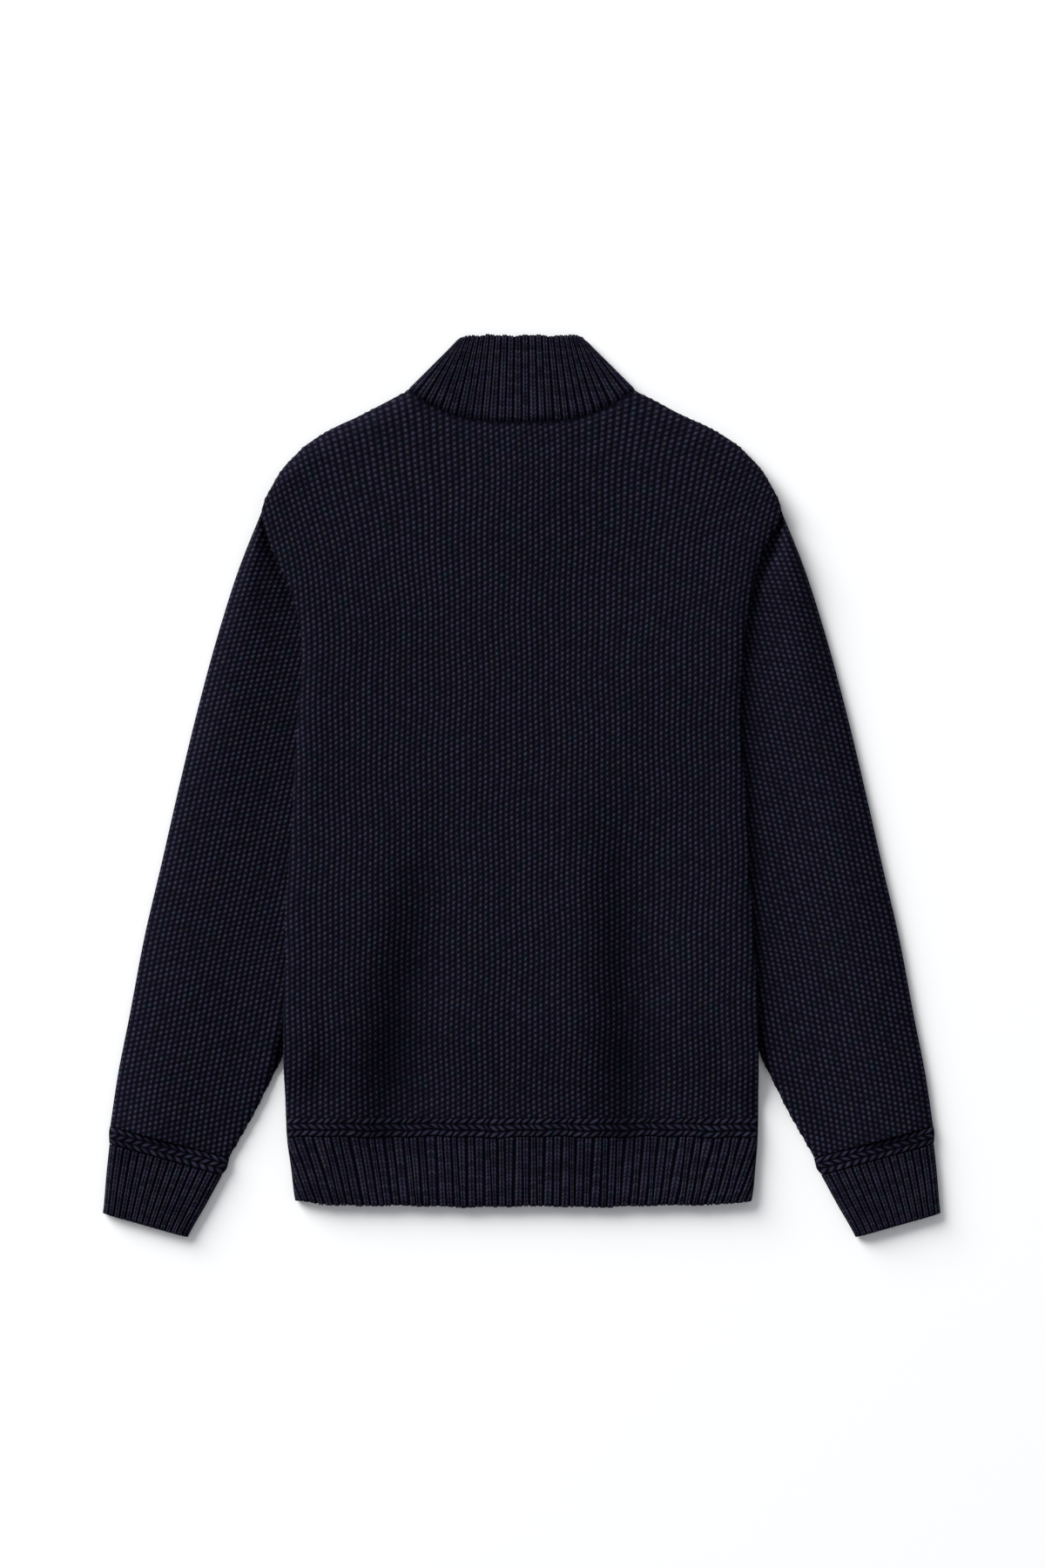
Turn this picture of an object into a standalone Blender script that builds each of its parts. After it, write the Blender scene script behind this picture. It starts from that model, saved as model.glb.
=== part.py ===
"""A men's zip-up sweater in heavy moss-stitch knit, laid flat with its back up.

The frame: +X to the right of someone who looks down at the back, +Y from the hem to the collar, +Z up
from the surface it lies on. The origin is the centre of the footprint, on that surface. "left" is -X.

Every size below is in millimetres and is turned to metres where a mesh is made. Each knitted piece is a
wall: a grid of points on its outer face, and the same grid moved in by the thickness of the knit. Ribs
and plaits are raised in the outer points alone. The back lies on the two fronts, and both ride up over
the sleeves, whose inner halves are tucked under the body. The zip joins the fronts underneath.
"""

import math

import bmesh
import bpy
import numpy as np
from mathutils import Matrix

MM = 0.001
PLY = 3.5  # thickness of one ply of the knit
SEAM = 0.4  # gap between pieces that are sewn or that lie on each other
NECK_SEAM = 0.9  # the same between the collar's close points and the panels' wider ones
CORNER_SEAM = 2.4  # what is added to it at the collar's two folds
SIDE_SEAM = 1.4  # the gap between the back's rim and the fronts
EDGE = PLY + 0.3  # radius of a folded edge on the underside

# The body
HEM_TOP = -278.0  # y where the moss stitch ends and the plait starts
PLAIT_FOOT = -294.0  # y where the plait ends and the rib starts
SHOULDER_HALF = 217.5  # half the width across the shoulders
NECK_HALF = 94.0  # half the width of the neckline
NECK_BACK = 302.5  # y of the middle of the back neckline
NECK_FRONT = 258.0  # y of the middle of the front neckline
NECK_SIDE = 330.0  # y of both necklines at the neck points
NECK_BACK_POWER = 3.0
NECK_FRONT_POWER = 2.5
SLOT_HALF = 5.0  # half the gap between the fronts, where the zip shows
RIM = 16.0  # width over which the back rounds down to its side seam
SHOULDER_FALL = 0.86  # cosine of the shoulder line's slope
BODY_PUFF = 3.4  # air between back and front in the middle of the body
SIDE_PUFF = 1.2  # the same over the sleeves
NECK_DIP = 1.2  # how far the neck seam pulls the knit down
NECK_DIP_WIDTH = 8.0

# The pile that the tucked sleeves make under the sides of the body
SLEEVE_PILE = 2 * EDGE + 3 * SEAM
RAMP = 32.0  # width over which the fronts climb on to the sleeves
RAMP_CLEAR = 17.0  # and how far from the sleeve they have climbed
RAMP_END = -268.0
RAMP_FADE = 34.0

# The ribs and plaits
RIB = 1.1  # height of a rib
PLAIT = 1.4  # height of a strand of the plait
RIB_COLUMNS = 3
PLAIT_COLUMNS = 2
HEM_RIBS = 60
HEM_STRANDS = 46
CUFF_RIBS = 15
CUFF_STRANDS = 12
COLLAR_RIBS = 28
BAND_RIM = 10.0  # width over which a sleeve or band rounds down to its folds
HEM_SAG = 0.5  # the share of the back's troughs that reaches the hem

# The sleeves and cuffs
SLEEVE_PUFF = 0.03  # air in a sleeve as a share of its width in view
SLEEVE_CLEAR = 12.0  # how far outside the body's edge the puff starts
SLEEVE_RIMS = (0.019, 0.067, 0.133)  # the top's first places in from its folds, by half width
CUFF_PUFF = 1.6

# The collar
COLLAR_TOP = 375.85
COLLAR_TOP_HALF = 50.0
COLLAR_BASE_HALF = 97.0
COLLAR_FRONT_TOP = 328.0
COLLAR_CORNER = 373.0
COLLAR_FAN = 1.64  # how much closer the ribs stand at the top's edges than at its middle
COLLAR_HEIGHT = 10.8
COLLAR_RIM = 8.0
COLLAR_ROWS = (0.0, 0.08, 0.94, 1.0)  # from its seam to its edge
COLLAR_SCALLOP = 0.7  # how far a rib stands out at the edge, by its height
COLLAR_EDGE_DIP = 1.5
CORNER_START, CORNER_WIDTH = 84.0, 10.0  # where the folds' wider seam starts, from the centre

# The zip
TEETH_HALF = 2.6
TEETH_LOW, TEETH_HIGH = 3.1, 5.5
TEETH_BOTTOM, TEETH_TOP = -340.0, 316.0
TAPE_IN, TAPE_OUT = 3.0, 17.0
TAPE_LOW, TAPE_HIGH = PLY + SEAM, PLY + SEAM + 0.8
TAPE_BOTTOM, TAPE_TOP = -350.0, 326.0
SLIDER_LOW, SLIDER_HIGH = 1.9, 6.7
SLIDER_PLATE = 0.9
SLIDER_BOTTOM, SLIDER_TOP = 309.0, 322.5
SLIDER_HALF = 4.6
PULL_AXIS_Y, PULL_AXIS_Z = 319.5, 1.0
PULL_THICK = 1.2
PIN_RADIUS = 0.5
PIN_HALF = 3.6
PULL_ROOT_HALF = 2.2
LUG_BORE = 0.75
LUG_IN, LUG_OUT = 2.6, 3.9
LUG_HALF = 1.5
LUG_FOOT = 0.1
FLANGE = 0.7
POST_HALF = 1.2
STOP_IN = 0.3
STOP_LENGTH = 3.2
OVERLAP = 0.4  # how far joined forms reach into each other


def table(columns, *rows):
    """Rows of numbers as one array for each named column."""
    return {name: np.array(column, float) for name, column in zip(columns.split(), zip(*rows))}


# The side edges of the body as they show, from the hem up: half widths to the left and right of the
# centre line, and the line that the tucked sleeve reaches under the body (the same on both sides).
BODY = table(
    "y left right sleeve",
    (-278.0, 197.1, 197.8, 224.0),
    (-232.0, 198.6, 197.8, 202.0),
    (-188.4, 198.6, 197.8, 185.5),
    (-144.7, 197.1, 194.9, 169.5),
    (-101.1, 197.1, 192.0, 153.5),
    (-57.5, 193.5, 189.1, 137.0),
    (-13.8, 190.6, 187.6, 119.0),
    (29.8, 188.4, 184.0, 102.0),
    (73.5, 185.5, 182.6, 115.6),
    (117.1, 183.3, 185.5, 142.5),
    (138.9, 186.2, 188.4, 157.3),
    (160.7, 192.0, 192.7, 172.5),
    (182.5, 202.2, 197.1, 187.6),
    (204.4, 210.9, 206.4, 202.5),
    (226.2, 217.5, 217.5, 217.5),
    (262.0, 217.5, 217.5, 242.0),
)

# Where the panels' straight rows lie, closer where the sleeves come out from under the body.
YOKE_FOOT = 192.0
BODY_ROWS = np.array([
    160.0, 128.0, 98.0, 70.0, 44.0, 14.0, -24.0, -64.0,
    -104.0, -144.0, -184.0, -216.0, -234.0, -251.0, -268.0, -278.0,
])

# The shoulder line from the neck point out to the sleeve.
SHOULDER = table(
    "x y",
    (94.0, 330.0),
    (112.0, 320.7),
    (134.0, 309.1),
    (159.0, 297.5),
    (169.0, 291.6),
    (178.0, 285.8),
    (185.0, 280.0),
    (190.5, 274.2),
    (201.0, 262.6),
    (209.0, 248.0),
    (215.5, 234.0),
    (217.5, 226.0),
)

# The right half of the pull tab, from its root down.
PULL = table(
    "x y",
    (2.2, 0.0),
    (2.2, -7.0),
    (3.4, -10.0),
    (3.4, -22.0),
    (2.2, -25.0),
)

# The long troughs of the back, each from a faint start to its full depth above the hem.
TROUGHS = table(
    "start_x start_y end_x end_y half_width depth",
    (-75.0, 0.0, -113.0, -278.0, 14.0, 3.0),
    (73.0, 40.0, 88.0, -278.0, 12.0, 3.0),
)

# The hem, from the plait down: half widths and how high the top ply lies.
HEM = table(
    "y left right height",
    (-352.0, 188.0, 191.0, 10.0),
    (-348.5, 189.5, 192.5, 10.8),
    (-320.0, 193.0, 195.5, 10.9),
    (-294.0, 196.3, 197.4, 10.8),
    (-278.0, 197.1, 197.8, 10.8),
)

# The right sleeve as it lies: its outer and inner edges, from the cap to the cuff's plait.
SLEEVE = table(
    "outer_x outer_y inner_x inner_y",
    (218.0, 224.5, 97.5, 48.0),
    (235.6, 179.0, 104.0, 25.5),
    (253.8, 125.8, 113.5, 0.7),
    (269.8, 64.7, 127.3, -32.0),
    (285.1, -0.7, 143.3, -74.2),
    (298.9, -64.7, 161.5, -122.9),
    (313.5, -126.5, 180.4, -173.8),
    (326.6, -192.0, 200.7, -229.1),
    (337.0, -244.0, 223.0, -274.0),
    (344.0, -284.4, 244.4, -311.3),
)

# The right cuff: the plait's two rows of edge points, then the rib's.
CUFF_PLAIT = table(
    "outer_x outer_y inner_x inner_y",
    (344.2, -285.0, 244.4, -311.9),
    (345.0, -289.8, 245.5, -316.6),
    (345.0, -294.8, 247.0, -321.4),
    (344.7, -299.6, 250.9, -325.8),
)
CUFF_RIB = table(
    "outer_x outer_y inner_x inner_y",
    (344.6, -300.2, 250.6, -326.4),
    (347.3, -326.0, 264.0, -351.0),
    (349.6, -353.0, 277.2, -374.0),
    (349.8, -356.4, 278.6, -376.7),
)


def smooth_step(t):
    t = np.clip(t, 0.0, 1.0)
    return t * t * (3.0 - 2.0 * t)


def rounded(t):
    """A quarter circle's rise from 0 at t = 0 to 1 at t = 1."""
    return np.sqrt(1.0 - (1.0 - np.clip(t, 0.0, 1.0)) ** 2)


def read(rows, key, column, at):
    """A column of a table at any place on its key, along a smooth curve through its rows."""
    x, y = rows[key], rows[column]
    at = np.clip(at, x[0], x[-1])
    slope = np.gradient(y, x)
    k = np.clip(np.searchsorted(x, at, side="right") - 1, 0, len(x) - 2)
    step = x[k + 1] - x[k]
    t = (at - x[k]) / step
    start = (1 + 2 * t) * (1 - t) ** 2 * y[k] + t * (1 - t) ** 2 * step * slope[k]
    end = t * t * (3 - 2 * t) * y[k + 1] - t * t * (1 - t) * step * slope[k + 1]
    return start + end


def side_of(rows, x, y):
    """Half the width at y, on the side that x lies on."""
    return np.where(x < 0, read(rows, "y", "left", y), read(rows, "y", "right", y))


def climb(x, y):
    """How high the sleeve under the body lifts it at x, y."""
    inside = (np.abs(x) - read(BODY, "y", "sleeve", y) + RAMP + RAMP_CLEAR) / RAMP
    return SLEEVE_PILE * smooth_step(inside) * smooth_step((y - RAMP_END) / RAMP_FADE)


def trough(x, y):
    """How deep the long folds of the back are at x, y."""
    depth = np.zeros(np.broadcast(x, y).shape)
    for k in range(len(TROUGHS["depth"])):
        start_x, start_y = TROUGHS["start_x"][k], TROUGHS["start_y"][k]
        along = (start_y - y) / (start_y - TROUGHS["end_y"][k])
        middle = start_x + (TROUGHS["end_x"][k] - start_x) * along
        across = (x - middle) / TROUGHS["half_width"][k]
        depth = depth + TROUGHS["depth"][k] * smooth_step(along / 0.7) * np.exp(-(across**2))
    return depth


def back_height(x, y):
    """The height of the back's outer face, away from its rounded rim."""
    lift = climb(x, y)
    share = lift / SLEEVE_PILE
    puff = (1 - share) * (BODY_PUFF - trough(x, y)) + share * SIDE_PUFF
    return lift + 2 * PLY + SEAM + puff


def front_top(x, y):
    """The lowest that the back may reach: just clear of the front under it."""
    return climb(x, y) + PLY + SIDE_SEAM


def neck_back(x):
    return NECK_BACK + (NECK_SIDE - NECK_BACK) * (np.abs(x) / NECK_HALF) ** NECK_BACK_POWER


def neck_front(x):
    return NECK_FRONT + (NECK_SIDE - NECK_FRONT) * (np.abs(x) / NECK_HALF) ** NECK_FRONT_POWER


def top_edge(x, neckline):
    """The top of a panel at x: its neckline, then the shoulder line."""
    inside = neckline(np.minimum(np.abs(x), NECK_HALF))
    return np.where(np.abs(x) < NECK_HALF, inside, read(SHOULDER, "x", "y", np.abs(x)))


def panel_grid(across, yoke, neckline):
    """Places on a body panel: across is -1 to 1 between the side edges, and yoke is 0 at the top edge
    and 1 at the yoke's foot. Below it the rows are straight, and the same on each panel."""
    top = top_edge(across * SHOULDER_HALF, neckline)
    upper = top[None, :] + (YOKE_FOOT - top)[None, :] * yoke[:, None]
    lower = np.repeat(BODY_ROWS[:, None], len(across), axis=1)
    y = np.concatenate([upper, lower])
    x = across[None, :] * side_of(BODY, across[None, :], y)
    return x, y, top[None, :] - y


def face_normals(grid, closed):
    """Unit normals of a grid of points, which loops round its columns where it is closed."""
    if closed:
        ends = np.concatenate([grid[:, -1:], grid, grid[:, :1]], axis=1)
        along = ends[:, 2:] - ends[:, :-2]
    else:
        along = np.gradient(grid, axis=1)
    down = np.gradient(grid, axis=0)
    normal = np.cross(down, along)
    return normal / np.maximum(np.linalg.norm(normal, axis=2, keepdims=True), 1e-9)


def make_material(name, colour, roughness, metallic=0.0):
    material = bpy.data.materials.new(name)
    material.use_nodes = True
    shader = material.node_tree.nodes["Principled BSDF"]
    shader.inputs["Base Color"].default_value = (*colour, 1.0)
    shader.inputs["Roughness"].default_value = roughness
    shader.inputs["Metallic"].default_value = metallic
    return material


def add_object(name, mesh, material, collection):
    piece = bpy.data.objects.new(name, mesh)
    mesh.materials.append(material)
    collection.objects.link(piece)
    return piece


def knit_wall(name, grid, relief, material, collection, side=1, closed=False, floor=None):
    """A closed wall from its outer face's grid, with the relief raised on that face alone.

    A side of -1 mirrors it to the left. Where the wall lies on something, floor gives how low its
    inner face may reach."""
    normal = face_normals(grid, closed)
    outer = grid + relief[..., None] * normal
    inner = grid - PLY * normal
    if floor:
        inner[..., 2] = np.maximum(inner[..., 2], floor(inner[..., 0], inner[..., 1]))
    rows, columns = grid.shape[:2]
    points = np.concatenate([outer.reshape(-1, 3), inner.reshape(-1, 3)]) * (side * MM, MM, MM)
    shift = rows * columns
    turns = columns if closed else columns - 1
    faces = []
    for r in range(rows - 1):
        for c in range(turns):
            a, b = r * columns + c, r * columns + (c + 1) % columns
            quad = (a, a + columns, b + columns, b)
            faces.append(quad)
            faces.append(tuple(shift + k for k in reversed(quad)))
    for r in (0, rows - 1):
        for c in range(turns):
            a, b = r * columns + c, r * columns + (c + 1) % columns
            faces.append((a, b, shift + b, shift + a))
    if not closed:
        for c in (0, columns - 1):
            for r in range(rows - 1):
                a, b = r * columns + c, (r + 1) * columns + c
                faces.append((a, b, shift + b, shift + a))
    mesh = bpy.data.meshes.new(name)
    mesh.from_pydata(points.tolist(), [], faces)
    shell = bmesh.new()
    shell.from_mesh(mesh)
    bmesh.ops.recalc_face_normals(shell, faces=shell.faces)
    shell.to_mesh(mesh)
    shell.free()
    mesh.shade_smooth()
    return add_object(name, mesh, material, collection)


def rim_places(reach, half, count=4):
    """Places across a panel, from 0 at its edge, that follow the rounding of its rim."""
    return reach / half * (1 - np.cos(np.linspace(0, math.pi / 2, count + 1)))


def make_back(material, collection):
    rim = 1 - rim_places(RIM, SHOULDER_HALF)
    middle = np.linspace(rim[-1], 0, 12)[1:]
    half = np.concatenate([rim, middle])
    across = np.concatenate([-half, half[-2::-1]])
    yoke = np.concatenate([rim_places(RIM, NECK_BACK - YOKE_FOOT, 3), [0.32, 0.55, 0.78, 1.0]])
    x, y, below = panel_grid(across, yoke, neck_back)
    seam = front_top(side_of(BODY, x, y), y)
    outside_neck = smooth_step((np.abs(across) * SHOULDER_HALF - NECK_HALF + 6) / 10)[None, :]
    side = rounded((side_of(BODY, x, y) - np.abs(x)) / RIM)
    shoulder = 1 - outside_neck * (1 - rounded(below * SHOULDER_FALL / RIM))
    z = seam + (back_height(x, y) - seam) * side * shoulder
    z -= (1 - outside_neck) * NECK_DIP * (1 - smooth_step(below / NECK_DIP_WIDTH))
    grid = np.stack([x, y, z], axis=2)
    return knit_wall("back_panel", grid, np.zeros(x.shape), material, collection, floor=front_top)


def make_front(side, name, material, collection):
    """The front on one side, from the zip to the side seam; its outer face is underneath."""
    neck = NECK_HALF / SHOULDER_HALF
    across = np.concatenate([np.linspace(0, neck, 9), np.linspace(neck, 1, 8)[1:]])
    x, y, _ = panel_grid(side * across, np.linspace(0, 1, 5), neck_front)
    x = side * x
    x[:, 0] = SLOT_HALF
    grid = np.stack([x, y, climb(x, y)], axis=2)[:, ::-1]
    return knit_wall(name, grid, np.zeros(x.shape), material, collection, side=side)


def ring(left, right, tops, bottoms, rim, slot=0.0):
    """A flattened ring, from the slot in its floor round the right edge, over the top and back.

    It gives the places across, the height of the part below the fold, and the share of the top's
    height that the rest has."""
    arc = np.linspace(0, math.pi / 2, 4)[1:]
    floor_right = slot + (right - EDGE - slot) * bottoms
    floor_left = -(slot + (left - EDGE - slot) * bottoms[::-1])
    if slot == 0:
        floor_left = floor_left[:-1]
    over = np.where(tops < 0, tops * left, tops * right)
    gap = np.where(tops < 0, left + over, right - over)
    across = np.concatenate([
        floor_right,
        right - EDGE + EDGE * np.sin(arc),
        over,
        -(left - EDGE + EDGE * np.sin(arc[::-1])),
        floor_left,
    ])
    low = np.concatenate([
        np.zeros(len(floor_right)),
        EDGE - EDGE * np.cos(arc),
        np.full(len(tops), EDGE),
        EDGE - EDGE * np.cos(arc[::-1]),
        np.zeros(len(floor_left)),
    ])
    share = np.zeros(len(across))
    first = len(floor_right) + len(arc)
    share[first:first + len(tops)] = rounded(gap / rim)
    return across, low, share, slice(first, first + len(tops))


def wave_places(count, per_wave):
    """Places from 1 to -1 across a ring's top, with the two ends left to its folds."""
    return np.linspace(1, -1, count * per_wave + 1)[1:-1]


def rib_relief(tops, count):
    return RIB * (0.5 - 0.5 * np.cos(math.pi * count * (tops + 1)))


def strand_relief(tops, count):
    return PLAIT * (0.5 - 0.5 * np.cos(math.pi * count * (tops + 1)))


def strand_shift(tops, row, count):
    """The plait's strands lean right, left and right again, so each row is half a strand over."""
    lean = 1.0 / count if row % 2 == 0 else 0.0
    return tops + lean * (1 - tops**8)


def hem_band(name, rows, tops_of, relief_of, material, collection):
    """A stretch of the hem, in one piece from the zip round the back to the zip."""
    bottoms = np.linspace(0, 1, 4)
    grid, relief = [], []
    for number, y in enumerate(rows):
        left, right = read(HEM, "y", "left", y), read(HEM, "y", "right", y)
        tops = tops_of(number)
        across, low, share, over = ring(left, right, tops, bottoms, BAND_RIM, SLOT_HALF)
        sag = HEM_SAG * trough(across, HEM_TOP) * smooth_step((y - HEM["y"][0]) / (HEM_TOP - HEM["y"][0]))
        z = low + share * (read(HEM, "y", "height", y) - sag - EDGE)
        grid.append(np.stack([across, np.full(len(across), y), z], axis=1))
        raised = np.zeros(len(across))
        raised[over] = relief_of(tops)
        relief.append(raised)
    grid, relief = np.array(grid)[:, ::-1], np.array(relief)[:, ::-1]
    return knit_wall(name, grid, relief, material, collection)


def make_hem(material, collection):
    strands = wave_places(HEM_STRANDS, PLAIT_COLUMNS)
    ribs = wave_places(HEM_RIBS, RIB_COLUMNS)
    hem_band(
        "hem_plait",
        np.linspace(HEM_TOP - 1.5 * SEAM, PLAIT_FOOT, 4),
        lambda row: strand_shift(strands, row, HEM_STRANDS),
        lambda tops: strand_relief(strands, HEM_STRANDS),
        material,
        collection,
    )
    hem_band(
        "hem_rib",
        np.array([PLAIT_FOOT - SEAM, *HEM["y"][1::-1]]),
        lambda row: ribs,
        lambda tops: rib_relief(ribs, HEM_RIBS),
        material,
        collection,
    )


def sleeve_height(x, y):
    """The height of a sleeve's top face: flat under the body, and puffed where it shows."""
    outer = np.interp(y, SLEEVE["outer_y"][::-1], SLEEVE["outer_x"][::-1])
    under = np.maximum(read(BODY, "y", "left", y), read(BODY, "y", "right", y)) + SLEEVE_CLEAR
    hidden = np.interp(y, SLEEVE["inner_y"][::-1], SLEEVE["inner_x"][::-1])
    inner = np.where(y < RAMP_END + RAMP_FADE, hidden, np.maximum(under, hidden))
    width = np.maximum(outer - inner, 1.0)
    place = np.clip((x - inner) / width, 0, 1)
    return 2 * EDGE + SLEEVE_PUFF * width * np.sin(math.pi * place) ** 2


def sleeve_rows(rows, tops_of, relief_of, bottoms, rim, height_of):
    """The rings of a right sleeve or cuff, each between its outer and inner edge points."""
    grid, relief = [], []
    for number in range(len(rows["outer_x"])):
        outer = np.array([rows["outer_x"][number], rows["outer_y"][number]])
        inner = np.array([rows["inner_x"][number], rows["inner_y"][number]])
        half = np.linalg.norm(outer - inner) / 2
        tops = tops_of(number)
        across, low, share, over = ring(half, half, tops, bottoms, rim)
        place = (outer + inner) / 2 + across[:, None] * (outer - inner) / (2 * half)
        z = low + share * (height_of(place[:, 0], place[:, 1]) - EDGE)
        grid.append(np.stack([place[:, 0], place[:, 1], z], axis=1))
        raised = np.zeros(len(across))
        raised[over] = relief_of(tops)
        relief.append(raised)
    return np.array(grid)[:, ::-1], np.array(relief)[:, ::-1]


def cuff_height(x, y):
    return np.full(x.shape, 2 * EDGE + CUFF_PUFF)


def make_sleeve(side, word, material, collection):
    edge = 1 - np.array(SLEEVE_RIMS)
    tops = np.concatenate([edge, np.linspace(0.72, -0.72, 9), -edge[::-1]])
    strands = wave_places(CUFF_STRANDS, PLAIT_COLUMNS)
    ribs = wave_places(CUFF_RIBS, RIB_COLUMNS)
    floor = np.linspace(0, 1, 3)
    grid, relief = sleeve_rows(
        SLEEVE, lambda row: tops, np.zeros_like, floor, BAND_RIM, sleeve_height
    )
    knit_wall(f"sleeve_{word}", grid, relief, material, collection, side=side, closed=True)
    grid, relief = sleeve_rows(
        CUFF_PLAIT,
        lambda row: strand_shift(strands, row, CUFF_STRANDS),
        lambda tops: strand_relief(strands, CUFF_STRANDS),
        floor,
        BAND_RIM,
        cuff_height,
    )
    knit_wall(f"cuff_plait_{word}", grid, relief, material, collection, side=side, closed=True)
    grid, relief = sleeve_rows(
        CUFF_RIB,
        lambda row: ribs,
        lambda tops: rib_relief(ribs, CUFF_RIBS),
        floor,
        BAND_RIM,
        cuff_height,
    )
    knit_wall(f"cuff_rib_{word}", grid, relief, material, collection, side=side, closed=True)


def make_collar(material, collection):
    """One band of rib from the zip round the back of the neck to the zip, flattened at its two folds."""
    tops = wave_places(COLLAR_RIBS, RIB_COLUMNS)
    bottoms = np.linspace(0, 1, 9)
    base, low, base_share, over = ring(
        COLLAR_BASE_HALF, COLLAR_BASE_HALF, tops, bottoms, COLLAR_RIM, SLOT_HALF
    )
    fanned = np.sign(tops) * (1 - (1 - np.abs(tops)) ** COLLAR_FAN)
    top, _, top_share, _ = ring(
        COLLAR_TOP_HALF, COLLAR_TOP_HALF, fanned, bottoms, COLLAR_RIM, SLOT_HALF
    )
    is_back = np.zeros(len(base), bool)
    is_back[over] = True
    base_reach = np.minimum(np.abs(base), NECK_HALF)
    top_reach = np.minimum(np.abs(top) / COLLAR_TOP_HALF, 1)
    base_y = np.where(is_back, neck_back(base_reach), neck_front(base_reach))
    top_y = np.where(
        is_back,
        COLLAR_TOP - (COLLAR_TOP - COLLAR_CORNER) * top_reach**12,
        COLLAR_FRONT_TOP + (COLLAR_CORNER - COLLAR_FRONT_TOP) * top_reach**2,
    )
    seam = NECK_SEAM + CORNER_SEAM * smooth_step((np.abs(base) - CORNER_START) / CORNER_WIDTH)
    raised = np.zeros(len(base))
    raised[over] = rib_relief(tops, COLLAR_RIBS)
    grid, relief = [], []
    for up in COLLAR_ROWS:
        x = base + (top - base) * up
        y = base_y + (top_y - base_y) * up + (seam if up == 0 else 0)
        y += np.where(up == 1, COLLAR_SCALLOP * raised, 0)
        share = base_share + (top_share - base_share) * up
        dip = NECK_DIP * (up == 0) + COLLAR_EDGE_DIP * (up == 1)
        z = low + share * (COLLAR_HEIGHT - dip - EDGE)
        grid.append(np.stack([x, y, z], axis=1))
        relief.append(raised)
    return knit_wall("collar", np.array(grid), np.array(relief), material, collection)


def box_mesh(name, low, high):
    """A box between two corners, given in millimetres."""
    low, high = np.array(low) * MM, np.array(high) * MM
    form = bmesh.new()
    place = Matrix.Translation((low + high) / 2) @ Matrix.Diagonal((*(high - low), 1.0))
    bmesh.ops.create_cube(form, size=1.0, matrix=place)
    mesh = bpy.data.meshes.new(name)
    form.to_mesh(mesh)
    form.free()
    return mesh


def pin_mesh(name, radius, half_length, centre):
    """A round pin along X."""
    form = bmesh.new()
    turn = Matrix.Rotation(math.pi / 2, 4, "Y")
    bmesh.ops.create_cone(
        form,
        cap_ends=True,
        segments=16,
        radius1=radius * MM,
        radius2=radius * MM,
        depth=2 * half_length * MM,
        matrix=Matrix.Translation([value * MM for value in centre]) @ turn,
    )
    mesh = bpy.data.meshes.new(name)
    form.to_mesh(mesh)
    form.free()
    return mesh


def add_boolean(piece, name, mesh, operation, helpers):
    """Joins a hidden helper to a piece, or cuts it away."""
    helper = bpy.data.objects.new(name, mesh)
    helper.hide_render = True
    helper.display_type = "WIRE"
    helpers.objects.link(helper)
    if piece.parent:
        helper.parent = piece.parent
        helper.matrix_parent_inverse = piece.parent.matrix_world.inverted()
    modifier = piece.modifiers.new(name, "BOOLEAN")
    modifier.operation = operation
    modifier.solver = "EXACT"
    modifier.object = helper


def make_zip(tape, metal, collection, helpers):
    for side, word in ((-1, "left"), (1, "right")):
        near, far = sorted((side * TAPE_IN, side * TAPE_OUT))
        mesh = box_mesh("tape", (near, TAPE_BOTTOM, TAPE_LOW), (far, TAPE_TOP, TAPE_HIGH))
        add_object(f"zip_tape_{word}", mesh, tape, collection)
        near, far = sorted((side * STOP_IN, side * TEETH_HALF))
        mesh = box_mesh("stop", (near, TAPE_TOP - STOP_LENGTH, TEETH_LOW), (far, TAPE_TOP, TEETH_HIGH))
        add_object(f"zip_stop_{word}", mesh, metal, collection)
    mesh = box_mesh(
        "teeth", (-TEETH_HALF, TEETH_BOTTOM, TEETH_LOW), (TEETH_HALF, TEETH_TOP, TEETH_HIGH)
    )
    add_object("zip_teeth", mesh, metal, collection)
    mesh = box_mesh(
        "box",
        (-TEETH_HALF, TAPE_BOTTOM, TEETH_LOW - SEAM),
        (TEETH_HALF, TEETH_BOTTOM - SEAM, TEETH_HIGH + SEAM),
    )
    add_object("zip_box", mesh, metal, collection)
    make_slider(metal, collection, helpers)
    make_pull(metal, collection, helpers)


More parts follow.
